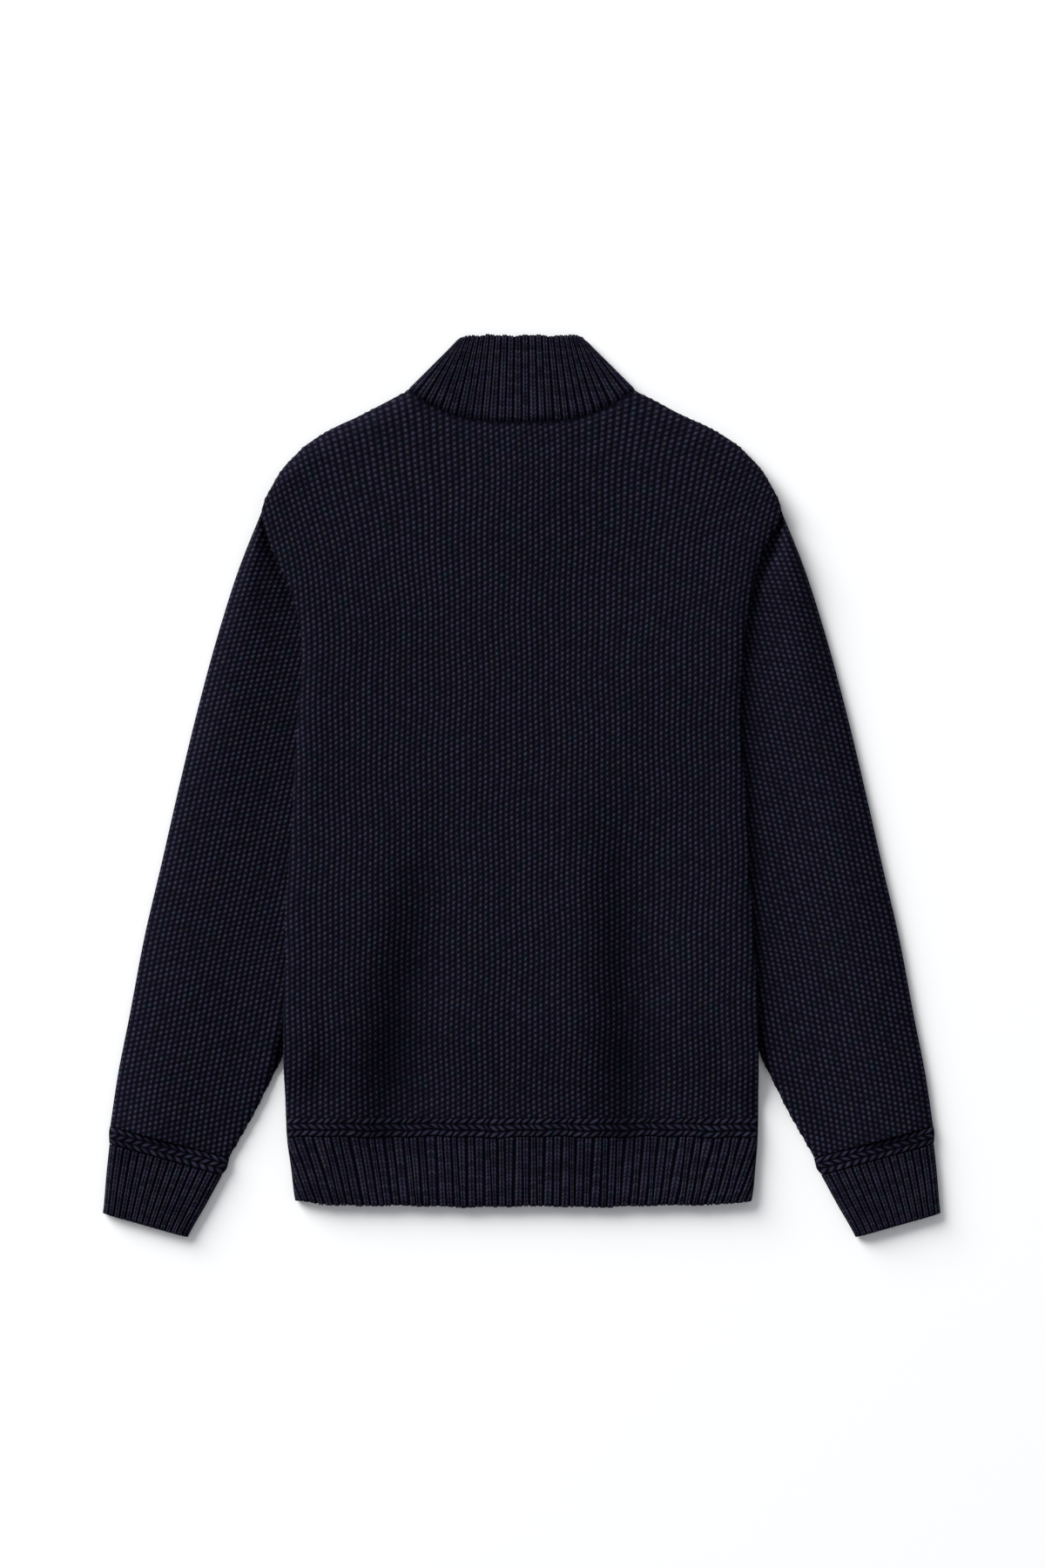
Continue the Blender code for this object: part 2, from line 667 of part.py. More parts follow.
def make_slider(metal, collection, helpers):
    """Two plates with the teeth between them, a post, side flanges, and two lugs for the pull."""
    lower_top, upper_low = SLIDER_LOW + SLIDER_PLATE, SLIDER_HIGH - SLIDER_PLATE
    plate = box_mesh(
        "plate", (-SLIDER_HALF, SLIDER_BOTTOM, SLIDER_LOW), (SLIDER_HALF, SLIDER_TOP, lower_top)
    )
    slider = add_object("zip_slider", plate, metal, collection)
    upper = box_mesh(
        "upper", (-SLIDER_HALF, SLIDER_BOTTOM, upper_low), (SLIDER_HALF, SLIDER_TOP, SLIDER_HIGH)
    )
    add_boolean(slider, "slider_upper", upper, "UNION", helpers)
    post = box_mesh(
        "post",
        (-POST_HALF, TEETH_TOP + SEAM, SLIDER_LOW + OVERLAP),
        (POST_HALF, SLIDER_TOP - FLANGE, SLIDER_HIGH - OVERLAP),
    )
    add_boolean(slider, "slider_post", post, "UNION", helpers)
    for side, word in ((-1, "left"), (1, "right")):
        near, far = sorted((side * (SLIDER_HALF - FLANGE), side * SLIDER_HALF))
        for low, high, level in (
            (lower_top - OVERLAP, TAPE_LOW - SEAM, "low"),
            (TAPE_HIGH + SEAM, upper_low + OVERLAP, "high"),
        ):
            flange = box_mesh("flange", (near, SLIDER_BOTTOM, low), (far, SLIDER_TOP - FLANGE, high))
            add_boolean(slider, f"slider_flange_{word}_{level}", flange, "UNION", helpers)
        near, far = sorted((side * LUG_IN, side * LUG_OUT))
        lug = box_mesh(
            "lug",
            (near, PULL_AXIS_Y - LUG_HALF, LUG_FOOT),
            (far, PULL_AXIS_Y + LUG_HALF, SLIDER_LOW + OVERLAP),
        )
        add_boolean(slider, f"slider_lug_{word}", lug, "UNION", helpers)
    bore = pin_mesh("bore", LUG_BORE, 1.5 * LUG_OUT, (0, PULL_AXIS_Y, PULL_AXIS_Z))
    add_boolean(slider, "slider_bore", bore, "DIFFERENCE", helpers)


def make_pull(metal, collection, helpers):
    """The pull tab, which hangs from a pin in the slider's lugs."""
    axis = bpy.data.objects.new("pull_axis", None)
    axis.location = (0, PULL_AXIS_Y * MM, PULL_AXIS_Z * MM)
    collection.objects.link(axis)
    bpy.context.view_layer.update()
    half = PULL_THICK / 2
    right = list(zip(PULL["x"], PULL["y"]))
    outline = right + [(-x, y) for x, y in reversed(right)]
    form = bmesh.new()
    corners = [form.verts.new((x * MM, y * MM, -half * MM)) for x, y in outline]
    face = form.faces.new(corners)
    grown = bmesh.ops.extrude_face_region(form, geom=[face])
    raised = [item for item in grown["geom"] if isinstance(item, bmesh.types.BMVert)]
    bmesh.ops.translate(form, verts=raised, vec=(0, 0, PULL_THICK * MM))
    bmesh.ops.recalc_face_normals(form, faces=form.faces)
    mesh = bpy.data.meshes.new("pull")
    form.to_mesh(mesh)
    form.free()
    pull = add_object("zip_pull", mesh, metal, collection)
    pull.parent = axis
    centre = (0, PULL_AXIS_Y, PULL_AXIS_Z)
    add_boolean(pull, "pull_root", pin_mesh("root", half, PULL_ROOT_HALF, centre), "UNION", helpers)
    add_boolean(pull, "pull_pin", pin_mesh("pin", PIN_RADIUS, PIN_HALF, centre), "UNION", helpers)


def main():
    for item in list(bpy.data.objects):
        bpy.data.objects.remove(item)
    collection = bpy.data.collections.new("zip_up_sweater")
    helpers = bpy.data.collections.new("helpers")
    for group in (collection, helpers):
        bpy.context.scene.collection.children.link(group)
    moss = make_material("navy moss knit", (0.012, 0.011, 0.024), 0.9)
    rib = make_material("navy rib knit", (0.011, 0.010, 0.021), 0.9)
    plait = make_material("navy plait knit", (0.010, 0.009, 0.019), 0.9)
    tape = make_material("navy zip tape", (0.008, 0.008, 0.014), 0.8)
    metal = make_material("dark zip metal", (0.09, 0.09, 0.10), 0.35, 1.0)
    make_back(moss, collection)
    for side, word in ((-1, "left"), (1, "right")):
        make_front(side, f"front_{word}", moss, collection)
        make_sleeve(side, word, moss, collection)
        for kind, finish in (("plait", plait), ("rib", rib)):
            bpy.data.objects[f"cuff_{kind}_{word}"].data.materials[0] = finish
    make_hem(rib, collection)
    bpy.data.objects["hem_plait"].data.materials[0] = plait
    make_collar(rib, collection)
    make_zip(tape, metal, collection, helpers)


main()
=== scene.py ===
# %% [markdown]
# # A zip-up sweater in heavy navy knit, laid flat with its back up
#
# The sweater is knitted in pieces and sewn: a back, two fronts, two sleeves, a collar, a hem and two cuffs,
# with a zip between the fronts. On the table it is a stack of soft layers, a few millimetres each, and
# nearly all that the eye reads as "sweater" is the stitch: beads in moss stitch, ribs at the edges, and a
# plaited band above them. So the stitches here are real relief in the mesh. The materials add what is finer
# than a stitch, and also paint light and shade on each stitch and in the folds. The imported model gives the
# frame: its solids say where each piece lies, and the pieces below are finer skins on the same forms.

# %% Load the imported model
import math

import bpy
import numpy as np
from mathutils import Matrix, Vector


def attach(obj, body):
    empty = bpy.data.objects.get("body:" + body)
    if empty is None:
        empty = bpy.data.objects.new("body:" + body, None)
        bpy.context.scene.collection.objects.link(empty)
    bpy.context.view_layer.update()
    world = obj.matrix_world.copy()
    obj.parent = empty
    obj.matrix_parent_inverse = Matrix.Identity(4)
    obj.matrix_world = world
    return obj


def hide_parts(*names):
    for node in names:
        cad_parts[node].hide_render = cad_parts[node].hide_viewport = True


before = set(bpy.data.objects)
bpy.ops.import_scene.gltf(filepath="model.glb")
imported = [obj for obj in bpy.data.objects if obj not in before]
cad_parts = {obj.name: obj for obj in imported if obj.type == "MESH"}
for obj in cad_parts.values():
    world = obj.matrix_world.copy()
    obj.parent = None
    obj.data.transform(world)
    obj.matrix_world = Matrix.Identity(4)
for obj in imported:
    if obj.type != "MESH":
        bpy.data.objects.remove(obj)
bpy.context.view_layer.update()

# %% [markdown]
# ## Sizes
#
# All sizes are in millimetres, from the pattern of a men's size M. A stitch column, which knitters call
# a wale, is 4.6 mm wide here, and one bead of the moss stitch is 4.54 mm long. Every number that the
# pieces share has a name.

# %% Sizes in millimetres
MM = 0.001
PLY = 3.0  # thickness of one ply of the knit, without its beads
SEAM = 0.4  # gap between layers that lie on each other
EDGE = 3.8  # radius of a folded edge on the underside
WALE = 4.6
BEAD = 4.54
BEAD_HEIGHT = 1.15
HEM_TOP = -278.0  # where the back meets the hem's plait
PLAIT_FOOT = -294.0  # and where the plait meets the rib
SHOULDER_HALF = 217.5
NECK_HALF = 94.0
NECK_BACK, NECK_BACK_POWER = 302.5, 3.0  # the neckline's lowest point, and how flat it is there
NECK_FRONT, NECK_FRONT_POWER = 258.0, 2.5
NECK_SIDE = 330.0
SLOT_HALF = 5.0  # half the gap between the fronts, for the zip
print("beads to a wale's width:", round(WALE / BEAD, 2))

# %% [markdown]
# ## Outlines
#
# Cloth has no formula for its outline, so each edge is a short table of measured points with named
# columns. A few points are enough, because a smooth curve runs through them.


# %% Outline tables
def table(columns, *rows):
    """Rows of numbers as one array for each named column."""
    return {name: np.array(column, float) for name, column in zip(columns.split(), zip(*rows))}


# Half widths of the body to the left and right of the centre line, and the line that the tucked sleeve
# reaches under the body.
BODY = table(
    "y left right sleeve",
    (-278.0, 197.1, 197.8, 224.0),
    (-232.0, 198.6, 197.8, 202.0),
    (-188.4, 198.6, 197.8, 185.5),
    (-144.7, 197.1, 194.9, 169.5),
    (-101.1, 197.1, 192.0, 153.5),
    (-57.5, 193.5, 189.1, 137.0),
    (-13.8, 190.6, 187.6, 119.0),
    (29.8, 188.4, 184.0, 102.0),
    (73.5, 185.5, 182.6, 115.6),
    (117.1, 183.3, 185.5, 142.5),
    (138.9, 186.2, 188.4, 157.3),
    (160.7, 192.0, 192.7, 172.5),
    (182.5, 202.2, 197.1, 187.6),
    (204.4, 210.9, 206.4, 202.5),
    (226.2, 217.5, 217.5, 217.5),
    (262.0, 217.5, 217.5, 242.0),
)

# The shoulder line from the neck point out to the sleeve.
SHOULDER = table(
    "x y",
    (94.0, 330.0),
    (112.0, 320.7),
    (134.0, 309.1),
    (159.0, 297.5),
    (169.0, 291.6),
    (178.0, 285.8),
    (185.0, 280.0),
    (190.5, 274.2),
    (201.0, 262.6),
    (209.0, 248.0),
    (215.5, 234.0),
    (217.5, 226.0),
)

# Outer and inner edges of the right sleeve, from the cap to the plait, then of the cuff's two bands.
SLEEVE = table(
    "outer_x outer_y inner_x inner_y",
    (214.0, 238.0, 97.5, 52.0),
    (237.6, 179.0, 104.0, 25.5),
    (254.4, 125.8, 113.5, 0.7),
    (271.0, 64.7, 127.3, -32.0),
    (286.8, -0.7, 143.3, -74.2),
    (301.4, -64.7, 161.5, -122.9),
    (315.8, -126.5, 180.4, -173.8),
    (328.2, -192.0, 200.7, -229.1),
    (338.4, -244.0, 223.0, -274.0),
    (344.4, -284.4, 244.4, -311.3),
)
CUFF_PLAIT = table(
    "outer_x outer_y inner_x inner_y",
    (344.2, -285.0, 244.4, -311.9),
    (345.0, -289.8, 245.5, -316.6),
    (345.0, -294.8, 247.0, -321.4),
    (344.7, -299.6, 250.9, -325.8),
)
CUFF_RIB = table(
    "outer_x outer_y inner_x inner_y",
    (344.6, -300.2, 250.6, -326.4),
    (347.3, -326.0, 264.0, -351.0),
    (349.6, -353.0, 277.2, -374.0),
    (350.2, -357.9, 279.2, -378.0),
)

# The hem, from its edge up: half widths and how high the top ply lies.
HEM = table(
    "y left right height",
    (-352.0, 189.4, 192.2, 10.0),
    (-348.5, 189.9, 192.8, 10.8),
    (-320.0, 193.0, 195.5, 10.9),
    (-294.0, 196.3, 197.4, 10.8),
    (-278.0, 197.1, 197.8, 10.8),
)
HEM_EDGE = HEM["y"][0]
print("wales across the back:", round(2 * SHOULDER_HALF / WALE))

# %% [markdown]
# ## Curves through the tables
#
# A smooth curve through a few measured points keeps an outline short to write and free of corners. The
# same two easing curves serve everywhere: an S-curve to blend, and a quarter circle for a rounded edge.


# %% Curves
def smooth_step(t):
    t = np.clip(t, 0.0, 1.0)
    return t * t * (3.0 - 2.0 * t)


def rounded(t):
    """A quarter circle's rise from 0 at t = 0 to 1 at t = 1."""
    return np.sqrt(1.0 - (1.0 - np.clip(t, 0.0, 1.0)) ** 2)


def read(rows, key, column, at):
    """A column of a table at any place on its key, along a smooth curve through its rows."""
    x, y = rows[key], rows[column]
    at = np.clip(at, x[0], x[-1])
    slope = np.gradient(y, x)
    k = np.clip(np.searchsorted(x, at, side="right") - 1, 0, len(x) - 2)
    step = x[k + 1] - x[k]
    t = (at - x[k]) / step
    start = (1 + 2 * t) * (1 - t) ** 2 * y[k] + t * (1 - t) ** 2 * step * slope[k]
    end = t * t * (3 - 2 * t) * y[k + 1] - t * t * (1 - t) * step * slope[k + 1]
    return start + end


def side_of(rows, x, y):
    """Half the width at y, on the side that x lies on."""
    return np.where(x < 0, read(rows, "y", "left", y), read(rows, "y", "right", y))


def neck_back(x):
    return NECK_BACK + (NECK_SIDE - NECK_BACK) * (np.abs(x) / NECK_HALF) ** NECK_BACK_POWER


def neck_front(x):
    return NECK_FRONT + (NECK_SIDE - NECK_FRONT) * (np.abs(x) / NECK_HALF) ** NECK_FRONT_POWER


def top_edge(x, neckline):
    """The top of a body panel at x: its neckline, then the shoulder line."""
    inside = neckline(np.minimum(np.abs(x), NECK_HALF))
    return np.where(np.abs(x) < NECK_HALF, inside, read(SHOULDER, "x", "y", np.abs(x)))


print("drop of the neck, back and front:", NECK_SIDE - neck_back(0.0), NECK_SIDE - neck_front(0.0))

# %% [markdown]
# ## How the layers lie
#
# The sleeves are tucked under the body, so the fronts climb on to them near the sides and the back rides on
# top. Where the sides of the body were folded in, the back shows two long soft troughs that deepen towards
# the hem. A cloth simulation would give folds of its own, not these, so they are placed from the photograph,
# each with its own width and depth, and a few slow waves make the rest uneven.

# %% Layers and folds
SLEEVE_PILE = 2 * EDGE + 3 * SEAM  # how high a tucked sleeve lifts what lies on it
RAMP, RAMP_CLEAR = 32.0, 17.0  # width of the climb on to the sleeve, and how far before its fold it ends
RAMP_END, RAMP_FADE = -268.0, 34.0  # the climb fades out here, where no sleeve lies under the body
SOLID_PLY = 3.5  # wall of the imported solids
SIDE_SEAM = 1.4  # gap between the back and the front along the body's side
RIM = 16.0  # width over which the back falls to its side
SHOULDER_FALL = 0.86  # below 1 it spreads the fall at the shoulders over more than the rim
LOW_PUFF, HIGH_PUFF = 3.4, 1.2  # air under the back at the hem, and once it has risen
PLATEAU_RISE = 80.0  # length over which the back rises from the hem to its full height
NECK_DIP, NECK_DIP_WIDTH = 1.6, 8.0  # how the neck seam pulls the back down

TROUGHS = table(
    "start_x start_y end_x end_y left_width right_width depth",
    (-66.0, 30.0, -110.0, -278.0, 24.0, 34.0, 8.0),
    (80.0, 50.0, 93.0, -278.0, 22.0, 32.0, 7.5),
)
TROUGH_RUN = 0.7  # share of its length in which a trough reaches its depth
TROUGH_END = 0.25  # share of its depth that a trough loses where the hem holds it

# Slow waves in the cloth: lengths across and along over 2 pi, where they start, and their height.
WAVES = table(
    "across along start height",
    (34.0, 118.0, 0.4, 0.5),
    (-57.0, 41.0, 2.1, 0.45),
    (21.0, -83.0, 4.0, 0.25),
    (96.0, 19.0, 1.2, 0.22),
    (-140.0, 27.0, 5.1, 0.3),
)


def climb(x, y):
    """How high the sleeve under the body lifts it at x, y."""
    inside = (np.abs(x) - read(BODY, "y", "sleeve", y) + RAMP + RAMP_CLEAR) / RAMP
    return SLEEVE_PILE * smooth_step(inside) * smooth_step((y - RAMP_END) / RAMP_FADE)


def trough(x, y):
    """How deep the long folds of the back are at x, y."""
    depth = np.zeros(np.broadcast(x, y).shape)
    for start_x, start_y, end_x, end_y, left_width, right_width, deepest in zip(*TROUGHS.values()):
        along = (start_y - y) / (start_y - end_y)
        middle = start_x + (end_x - start_x) * along
        across = (x - middle) / np.where(x < middle, left_width, right_width)
        share = smooth_step(along / TROUGH_RUN)
        share = share * (1 - TROUGH_END * smooth_step((along - 0.8) / 0.2))
        depth = depth + deepest * share * np.exp(-(across**2))
    return depth


def waves(x, y):
    """The soft unevenness of cloth that was laid by hand."""
    height = 0.0
    for across, along, start, size in zip(*WAVES.values()):
        height = height + size * np.sin(x / across + y / along + start)
    return height


print("deepest trough:", round(float(trough(-110.0, -278.0)), 1), "mm")

# %% [markdown]
# ## The height of the back
#
# A pile of cloth has rounded sides. So the back's height is a blend: at its side and shoulders it lies
# just clear of the front under it, and within a finger's width it rises to the full height of the pile.
# The neck seam pulls it down a little, as a sewn edge does.


# %% Height of the back
def front_top(x, y):
    """The lowest that the back may reach: just clear of the front under it."""
    return climb(x, y) + SOLID_PLY + SIDE_SEAM


def back_height(x, y):
    """The height of the back, with its rounded sides and shoulders and the pull of the neck seam."""
    lift = SLEEVE_PILE * smooth_step((y - RAMP_END) / PLATEAU_RISE)
    lift = np.maximum(lift, climb(x, y))
    puff = LOW_PUFF + (HIGH_PUFF - LOW_PUFF) * lift / SLEEVE_PILE
    high = lift + 2 * SOLID_PLY + SEAM + puff + waves(x, y) - trough(x, y)
    seam = front_top(x, y)
    below = top_edge(x, neck_back) - y
    # Round the neck point the neck's rule blends into the shoulder's over 10 mm.
    outside_neck = smooth_step((np.abs(x) - NECK_HALF + 6) / 10)
    side = rounded((side_of(BODY, x, y) - np.abs(x)) / RIM)
    shoulder = 1 - outside_neck * (1 - rounded(below * SHOULDER_FALL / RIM))
    dip = (1 - outside_neck) * NECK_DIP * (1 - smooth_step(below / NECK_DIP_WIDTH))
    return seam + (high - seam) * side * shoulder - dip


for x, y in ((0.0, 0.0), (-105.0, -250.0)):
    print(f"height of the back at {x}, {y}: {float(back_height(x, y)):.1f} mm")

# %% [markdown]
# ## Stitches as relief
#
# In moss stitch every other loop lies in front, so each wale is a string of beads and its neighbour is
# the same string half a bead over. The relief is a formula in wales and beads: a rounded rise across the
# wale, times a rise along it. A bead slants a little, as a loop does, and no two are quite the same size.
# Four mesh lines to a wale put one line in each groove and one on the crest, which is what keeps the
# grooves sharp with few faces.


# %% Moss stitch
SLANT = 0.2  # how much of a bead's length it leans by across its wale


def scatter(a, b):
    """A number from 0 to 1 for each pair of whole numbers, with no pattern that shows."""
    wave = np.sin(a * 12.9898 + b * 78.233) * 43758.5453
    return wave - np.floor(wave)


def moss(u, v):
    """Height of the moss stitch from 0 to about 1, at u wales and v beads."""
    column = np.floor(u)
    place = u - column
    turn = v + 0.5 * (column % 2) - SLANT * (place - 0.5)
    size = 0.7 + 0.45 * scatter(column, np.floor(turn + 0.5))
    across = np.sin(math.pi * place) ** 0.9
    along = 0.5 + 0.5 * np.cos(2 * math.pi * turn)
    return across * (0.3 + 0.7 * size * along)


print("stitches in 10 cm:", round(100 / WALE), "wales and", round(100 / BEAD), "beads")


# %% [markdown]
# ## Which way a surface faces
#
# Relief stands out square to the cloth, so every point needs its normal. For a skin given as a grid of
# points it comes from the neighbouring points, and for one given as a height over the table it comes from
# the height's slope. The slope is limited, so that stitches at a steep rim don't lean out of it.


# %% Normals
STEEPEST = 2.5  # slope at which the normals stop leaning further


def unit(vectors):
    """The same directions with a length of 1."""
    return vectors / np.maximum(np.linalg.norm(vectors, axis=-1, keepdims=True), 1e-9)


def surface_normals(points, loop=False):
    """Unit normals of a grid of points, looping round its columns where it is closed."""
    if loop:
        ends = np.concatenate([points[:, -1:], points, points[:, :1]], axis=1)
        along = ends[:, 2:] - ends[:, :-2]
    else:
        along = np.gradient(points, axis=1)
    return unit(np.cross(np.gradient(points, axis=0), along))


def height_normals(x, y, height, step=0.6, steepest=STEEPEST):
    """Unit normals of a surface that is given by its height over the table."""
    slope_x = (height(x + step, y) - height(x - step, y)) / (2 * step)
    slope_y = (height(x, y + step) - height(x, y - step)) / (2 * step)
    normal = np.stack([-slope_x, -slope_y, np.ones_like(x)], axis=2)
    normal[..., :2] = np.clip(normal[..., :2], -steepest, steepest)
    return unit(normal)


x, y = np.array([[0.0, -190.0]]), np.zeros((1, 2))
print("the back's normal in its middle and near its side:", height_normals(x, y, back_height).round(2))


# %% [markdown]
# ## A mesh from arrays
#
# A sweater has tens of thousands of beads. Made one by one they would take minutes, but as arrays of
# points and triangles they go into a mesh in one step. Each corner also carries its place in stitches, as
# a UV map, so that the material knows which stitch it is on.


# %% Mesh from arrays
def add_mesh(name, spots, triangles, places, material, flat=0):
    """A mesh object from arrays of points, triangles and one stitch place a corner.

    Its first triangles are shaded flat, as many as flat says, and the rest smooth."""
    mesh = bpy.data.meshes.new(name)
    mesh.vertices.add(len(spots))
    mesh.vertices.foreach_set("co", np.ascontiguousarray(spots, np.float32).ravel())
    mesh.loops.add(triangles.size)
    mesh.loops.foreach_set("vertex_index", triangles.ravel().astype(np.int32))
    mesh.polygons.add(len(triangles))
    mesh.polygons.foreach_set("loop_start", np.arange(0, triangles.size, 3, dtype=np.int32))
    mesh.update(calc_edges=True)
    layer = mesh.uv_layers.new(name="stitches")
    layer.data.foreach_set("uv", np.ascontiguousarray(places, np.float32).ravel())
    mesh.polygons.foreach_set("use_smooth", np.arange(len(triangles)) >= flat)
    mesh.materials.append(material)
    piece = bpy.data.objects.new(name, mesh)
    bpy.context.scene.collection.objects.link(piece)
    print(f"{name}: {len(triangles)} triangles")
    return piece


# %% [markdown]
# ## One wall from two skins
#
# A knitted wall has an outer skin with all the stitches and an inner skin that nobody sees, so the inner
# one takes only a few of the grid's lines. Along each edge a fan of triangles joins the fine skin to the
# coarse one. Where the outline cuts through the grid, the points outside it were moved on to the outline,
# so they coincide: they are merged and the faces that collapsed are dropped, which leaves a closed wall
# with a clean cut edge, up to which the wales run on as they were.


# %% Knitted wall
def picks(count, step):
    """Every step-th line of a grid, and always its last."""
    return [*range(0, count - 1, step), count - 1]


def joined_edge(outer_line, inner_line, picked):
    """Triangles between a fine edge and a coarse one, which takes the fine one's picked points."""
    faces = []
    for k in range(len(picked) - 1):
        a, b = picked[k], picked[k + 1]
        middle = (a + b) // 2
        for j in range(a, middle):
            faces.append((outer_line[j], outer_line[j + 1], inner_line[k]))
        faces.append((outer_line[middle], inner_line[k + 1], inner_line[k]))
        for j in range(middle, b):
            faces.append((outer_line[j], outer_line[j + 1], inner_line[k + 1]))
    return faces


def knit_wall(name, outer, inner, uv, picks_down, picks_across, material, loop=False, mirror=1):
    """A closed wall from its outer grid and its inner grid, whose lines are the picked ones.

    uv gives each outer point its place in stitches. A mirror of -1 makes the left piece."""
    rows, columns = outer.shape[:2]
    few_rows, few_columns = inner.shape[:2]
    index = np.arange(rows * columns).reshape(rows, columns)
    inside = rows * columns + np.arange(few_rows * few_columns).reshape(few_rows, few_columns)
    if loop:
        index = np.concatenate([index, index[:, :1]], axis=1)
        inside = np.concatenate([inside, inside[:, :1]], axis=1)
        picks_across = [*picks_across, columns]
    quads = np.stack([index[:-1, :-1], index[1:, :-1], index[1:, 1:], index[:-1, 1:]], axis=2)
    back = np.stack([inside[:-1, :-1], inside[:-1, 1:], inside[1:, 1:], inside[1:, :-1]], axis=2)
    fans = joined_edge(index[0], inside[0], picks_across)
    fans += [face[::-1] for face in joined_edge(index[-1], inside[-1], picks_across)]
    if not loop:
        fans += [face[::-1] for face in joined_edge(index[:, 0], inside[:, 0], picks_down)]
        fans += joined_edge(index[:, -1], inside[:, -1], picks_down)
    points = np.concatenate([outer.reshape(-1, 3), inner.reshape(-1, 3)])
    inner_uv = uv[np.ix_(picks_down, [c % columns for c in picks_across[:few_columns]])]
    places = np.concatenate([uv.reshape(-1, 2), inner_uv.reshape(-1, 2)])
    _, first, merged = np.unique(np.round(points, 3), axis=0, return_index=True, return_inverse=True)
    merged = merged.reshape(-1)
    triangles = [np.array(fans)]
    for four in (quads.reshape(-1, 4), back.reshape(-1, 4)):
        triangles += [four[:, [0, 1, 2]], four[:, [0, 2, 3]]]
    corners = np.concatenate(triangles)
    joined = merged[corners]
    whole = (
        (joined[:, 0] != joined[:, 1]) & (joined[:, 1] != joined[:, 2]) & (joined[:, 0] != joined[:, 2])
    )
    corners, joined = corners[whole], joined[whole]
    walls = int(whole[: len(fans)].sum())
    if mirror < 0:
        corners, joined = corners[:, ::-1], joined[:, ::-1]
    used, joined = np.unique(joined, return_inverse=True)
    spots = points[first[used]] * (mirror * MM, MM, MM)
    return add_mesh(name, spots, joined.reshape(-1, 3), places[corners.reshape(-1)], material, walls)


print("of 20 lines the inner skin takes", picks(20, 8))


# %% [markdown]
# ## Shade in the folds
#
# In the photograph the troughs are darker than their slope alone makes them, which relief this shallow can't
# show. So the shade is painted: each point stores how deep it is in a trough or in the neck seam, and the
# material darkens the yarn by that, as painted shade. It could be painted by hand, but a formula follows the
# folds exactly.

# %% Painted shade in the folds
TROUGH_SIDE = -7.0  # a trough is darkest here, left of its bottom, where it faces away from the light
LOW_SHADE, LOW_SHADE_TOP, LOW_SHADE_RUN = 0.45, -160.0, 90.0  # the troughs' painted shade grows this much darker near the hem
SEAM_SHADE, SEAM_SHADE_WIDTH = 2.2, 3.0  # painted shade along the neck seam, next to a trough's 1, and its width


def mark_painted_fold_shade(piece):
    """Stores on each point how deep in a trough or in the neck seam it is, for the material's painted shade.
    """
    spots = np.empty(3 * len(piece.data.vertices), np.float32)
    piece.data.vertices.foreach_get("co", spots)
    x, height_on_body = spots[0::3] / MM, spots[1::3] / MM
    y = np.maximum(height_on_body, HEM_TOP)
    above_edge = smooth_step((height_on_body - HEM_EDGE) / (HEM_TOP - HEM_EDGE))
    fold = trough(x - TROUGH_SIDE, y) / TROUGHS["depth"][0] * above_edge
    fold *= 1 + LOW_SHADE * smooth_step((LOW_SHADE_TOP - y) / LOW_SHADE_RUN)
    from_seam = (y - neck_back(np.minimum(np.abs(x), NECK_HALF))) / SEAM_SHADE_WIDTH
    fold += SEAM_SHADE * np.exp(-(from_seam**2)) * (np.abs(x) < NECK_HALF)
    # The stored fold is how strong the painted shade is at each point.
    piece.data.attributes.new("fold", "FLOAT", "POINT").data.foreach_set("value", fold.astype(np.float32))
    print(f"{piece.name}: deepest fold {fold.max():.2f}")


# %% [markdown]
# ## The yarn's colours
#
# The yarn is a dark navy wool blend, spun from fibres dyed a little apart, so close up it is mottled with
# slate and brown. Colours are kept as the sRGB hex values that a picker shows, and one function turns them
# to the linear values that the renderer needs. Another adds a node with its settings and links, which
# keeps a material as short as its recipe.


# %% Colours and nodes
def linear(colour):
    """An sRGB hex value as linear RGBA."""
    channels = [int(colour[k : k + 2], 16) / 255 for k in (1, 3, 5)]
    return (*[c / 12.92 if c <= 0.04045 else ((c + 0.055) / 1.055) ** 2.4 for c in channels], 1.0)


def add(tree, kind, inputs=None, **settings):
    """A node with its settings, and its inputs set to values or linked to other nodes' outputs."""
    node = tree.nodes.new(kind)
    for key, value in settings.items():
        setattr(node, key, value)
    for socket, value in (inputs or {}).items():
        if isinstance(value, bpy.types.NodeSocket):
            tree.links.new(value, node.inputs[socket])
        else:
            node.inputs[socket].default_value = value
    return node


def compute(tree, operation, *values):
    """The result of one step of arithmetic on sockets and numbers."""
    return add(tree, "ShaderNodeMath", dict(enumerate(values)), operation=operation).outputs[0]


def new_material(name):
    material = bpy.data.materials.new(name)
    material.use_nodes = True
    return material, material.node_tree, material.node_tree.nodes["Principled BSDF"]


YARN_DEEP = "#03030b"  # between the stitches, where fibre shades fibre
YARN_CREST = "#312d40"  # the top of a stitch
YARN_SLATE = "#1f3740"  # fibres that took the dye greener
YARN_BROWN = "#373234"  # and fibres that took it browner
print("crest, linear:", [round(c, 4) for c in linear(YARN_CREST)])

# %% [markdown]
# ## Stitches in nodes
#
# In navy wool nearly all that the eye sees of a stitch is how far each place is down between the others.
# A picture of knitting could give that, but it would repeat and would not sit on the mesh's beads. So the
# stitch formulas are repeated in nodes, on the mesh's stitch coordinates. A few helpers come first: the
# place in stitches, a wave, a bell curve, and white noise that gives each stitch its own lightness.


# %% Helpers for stitch nodes
def stitch_place(tree):
    """The place in stitches: across, along, the share of the way across one, and its number."""
    place = add(tree, "ShaderNodeUVMap", uv_map="stitches").outputs[0]
    split = add(tree, "ShaderNodeSeparateXYZ", {0: place})
    across, along = split.outputs[0], split.outputs[1]
    return across, along, compute(tree, "FRACT", across), compute(tree, "FLOOR", across)


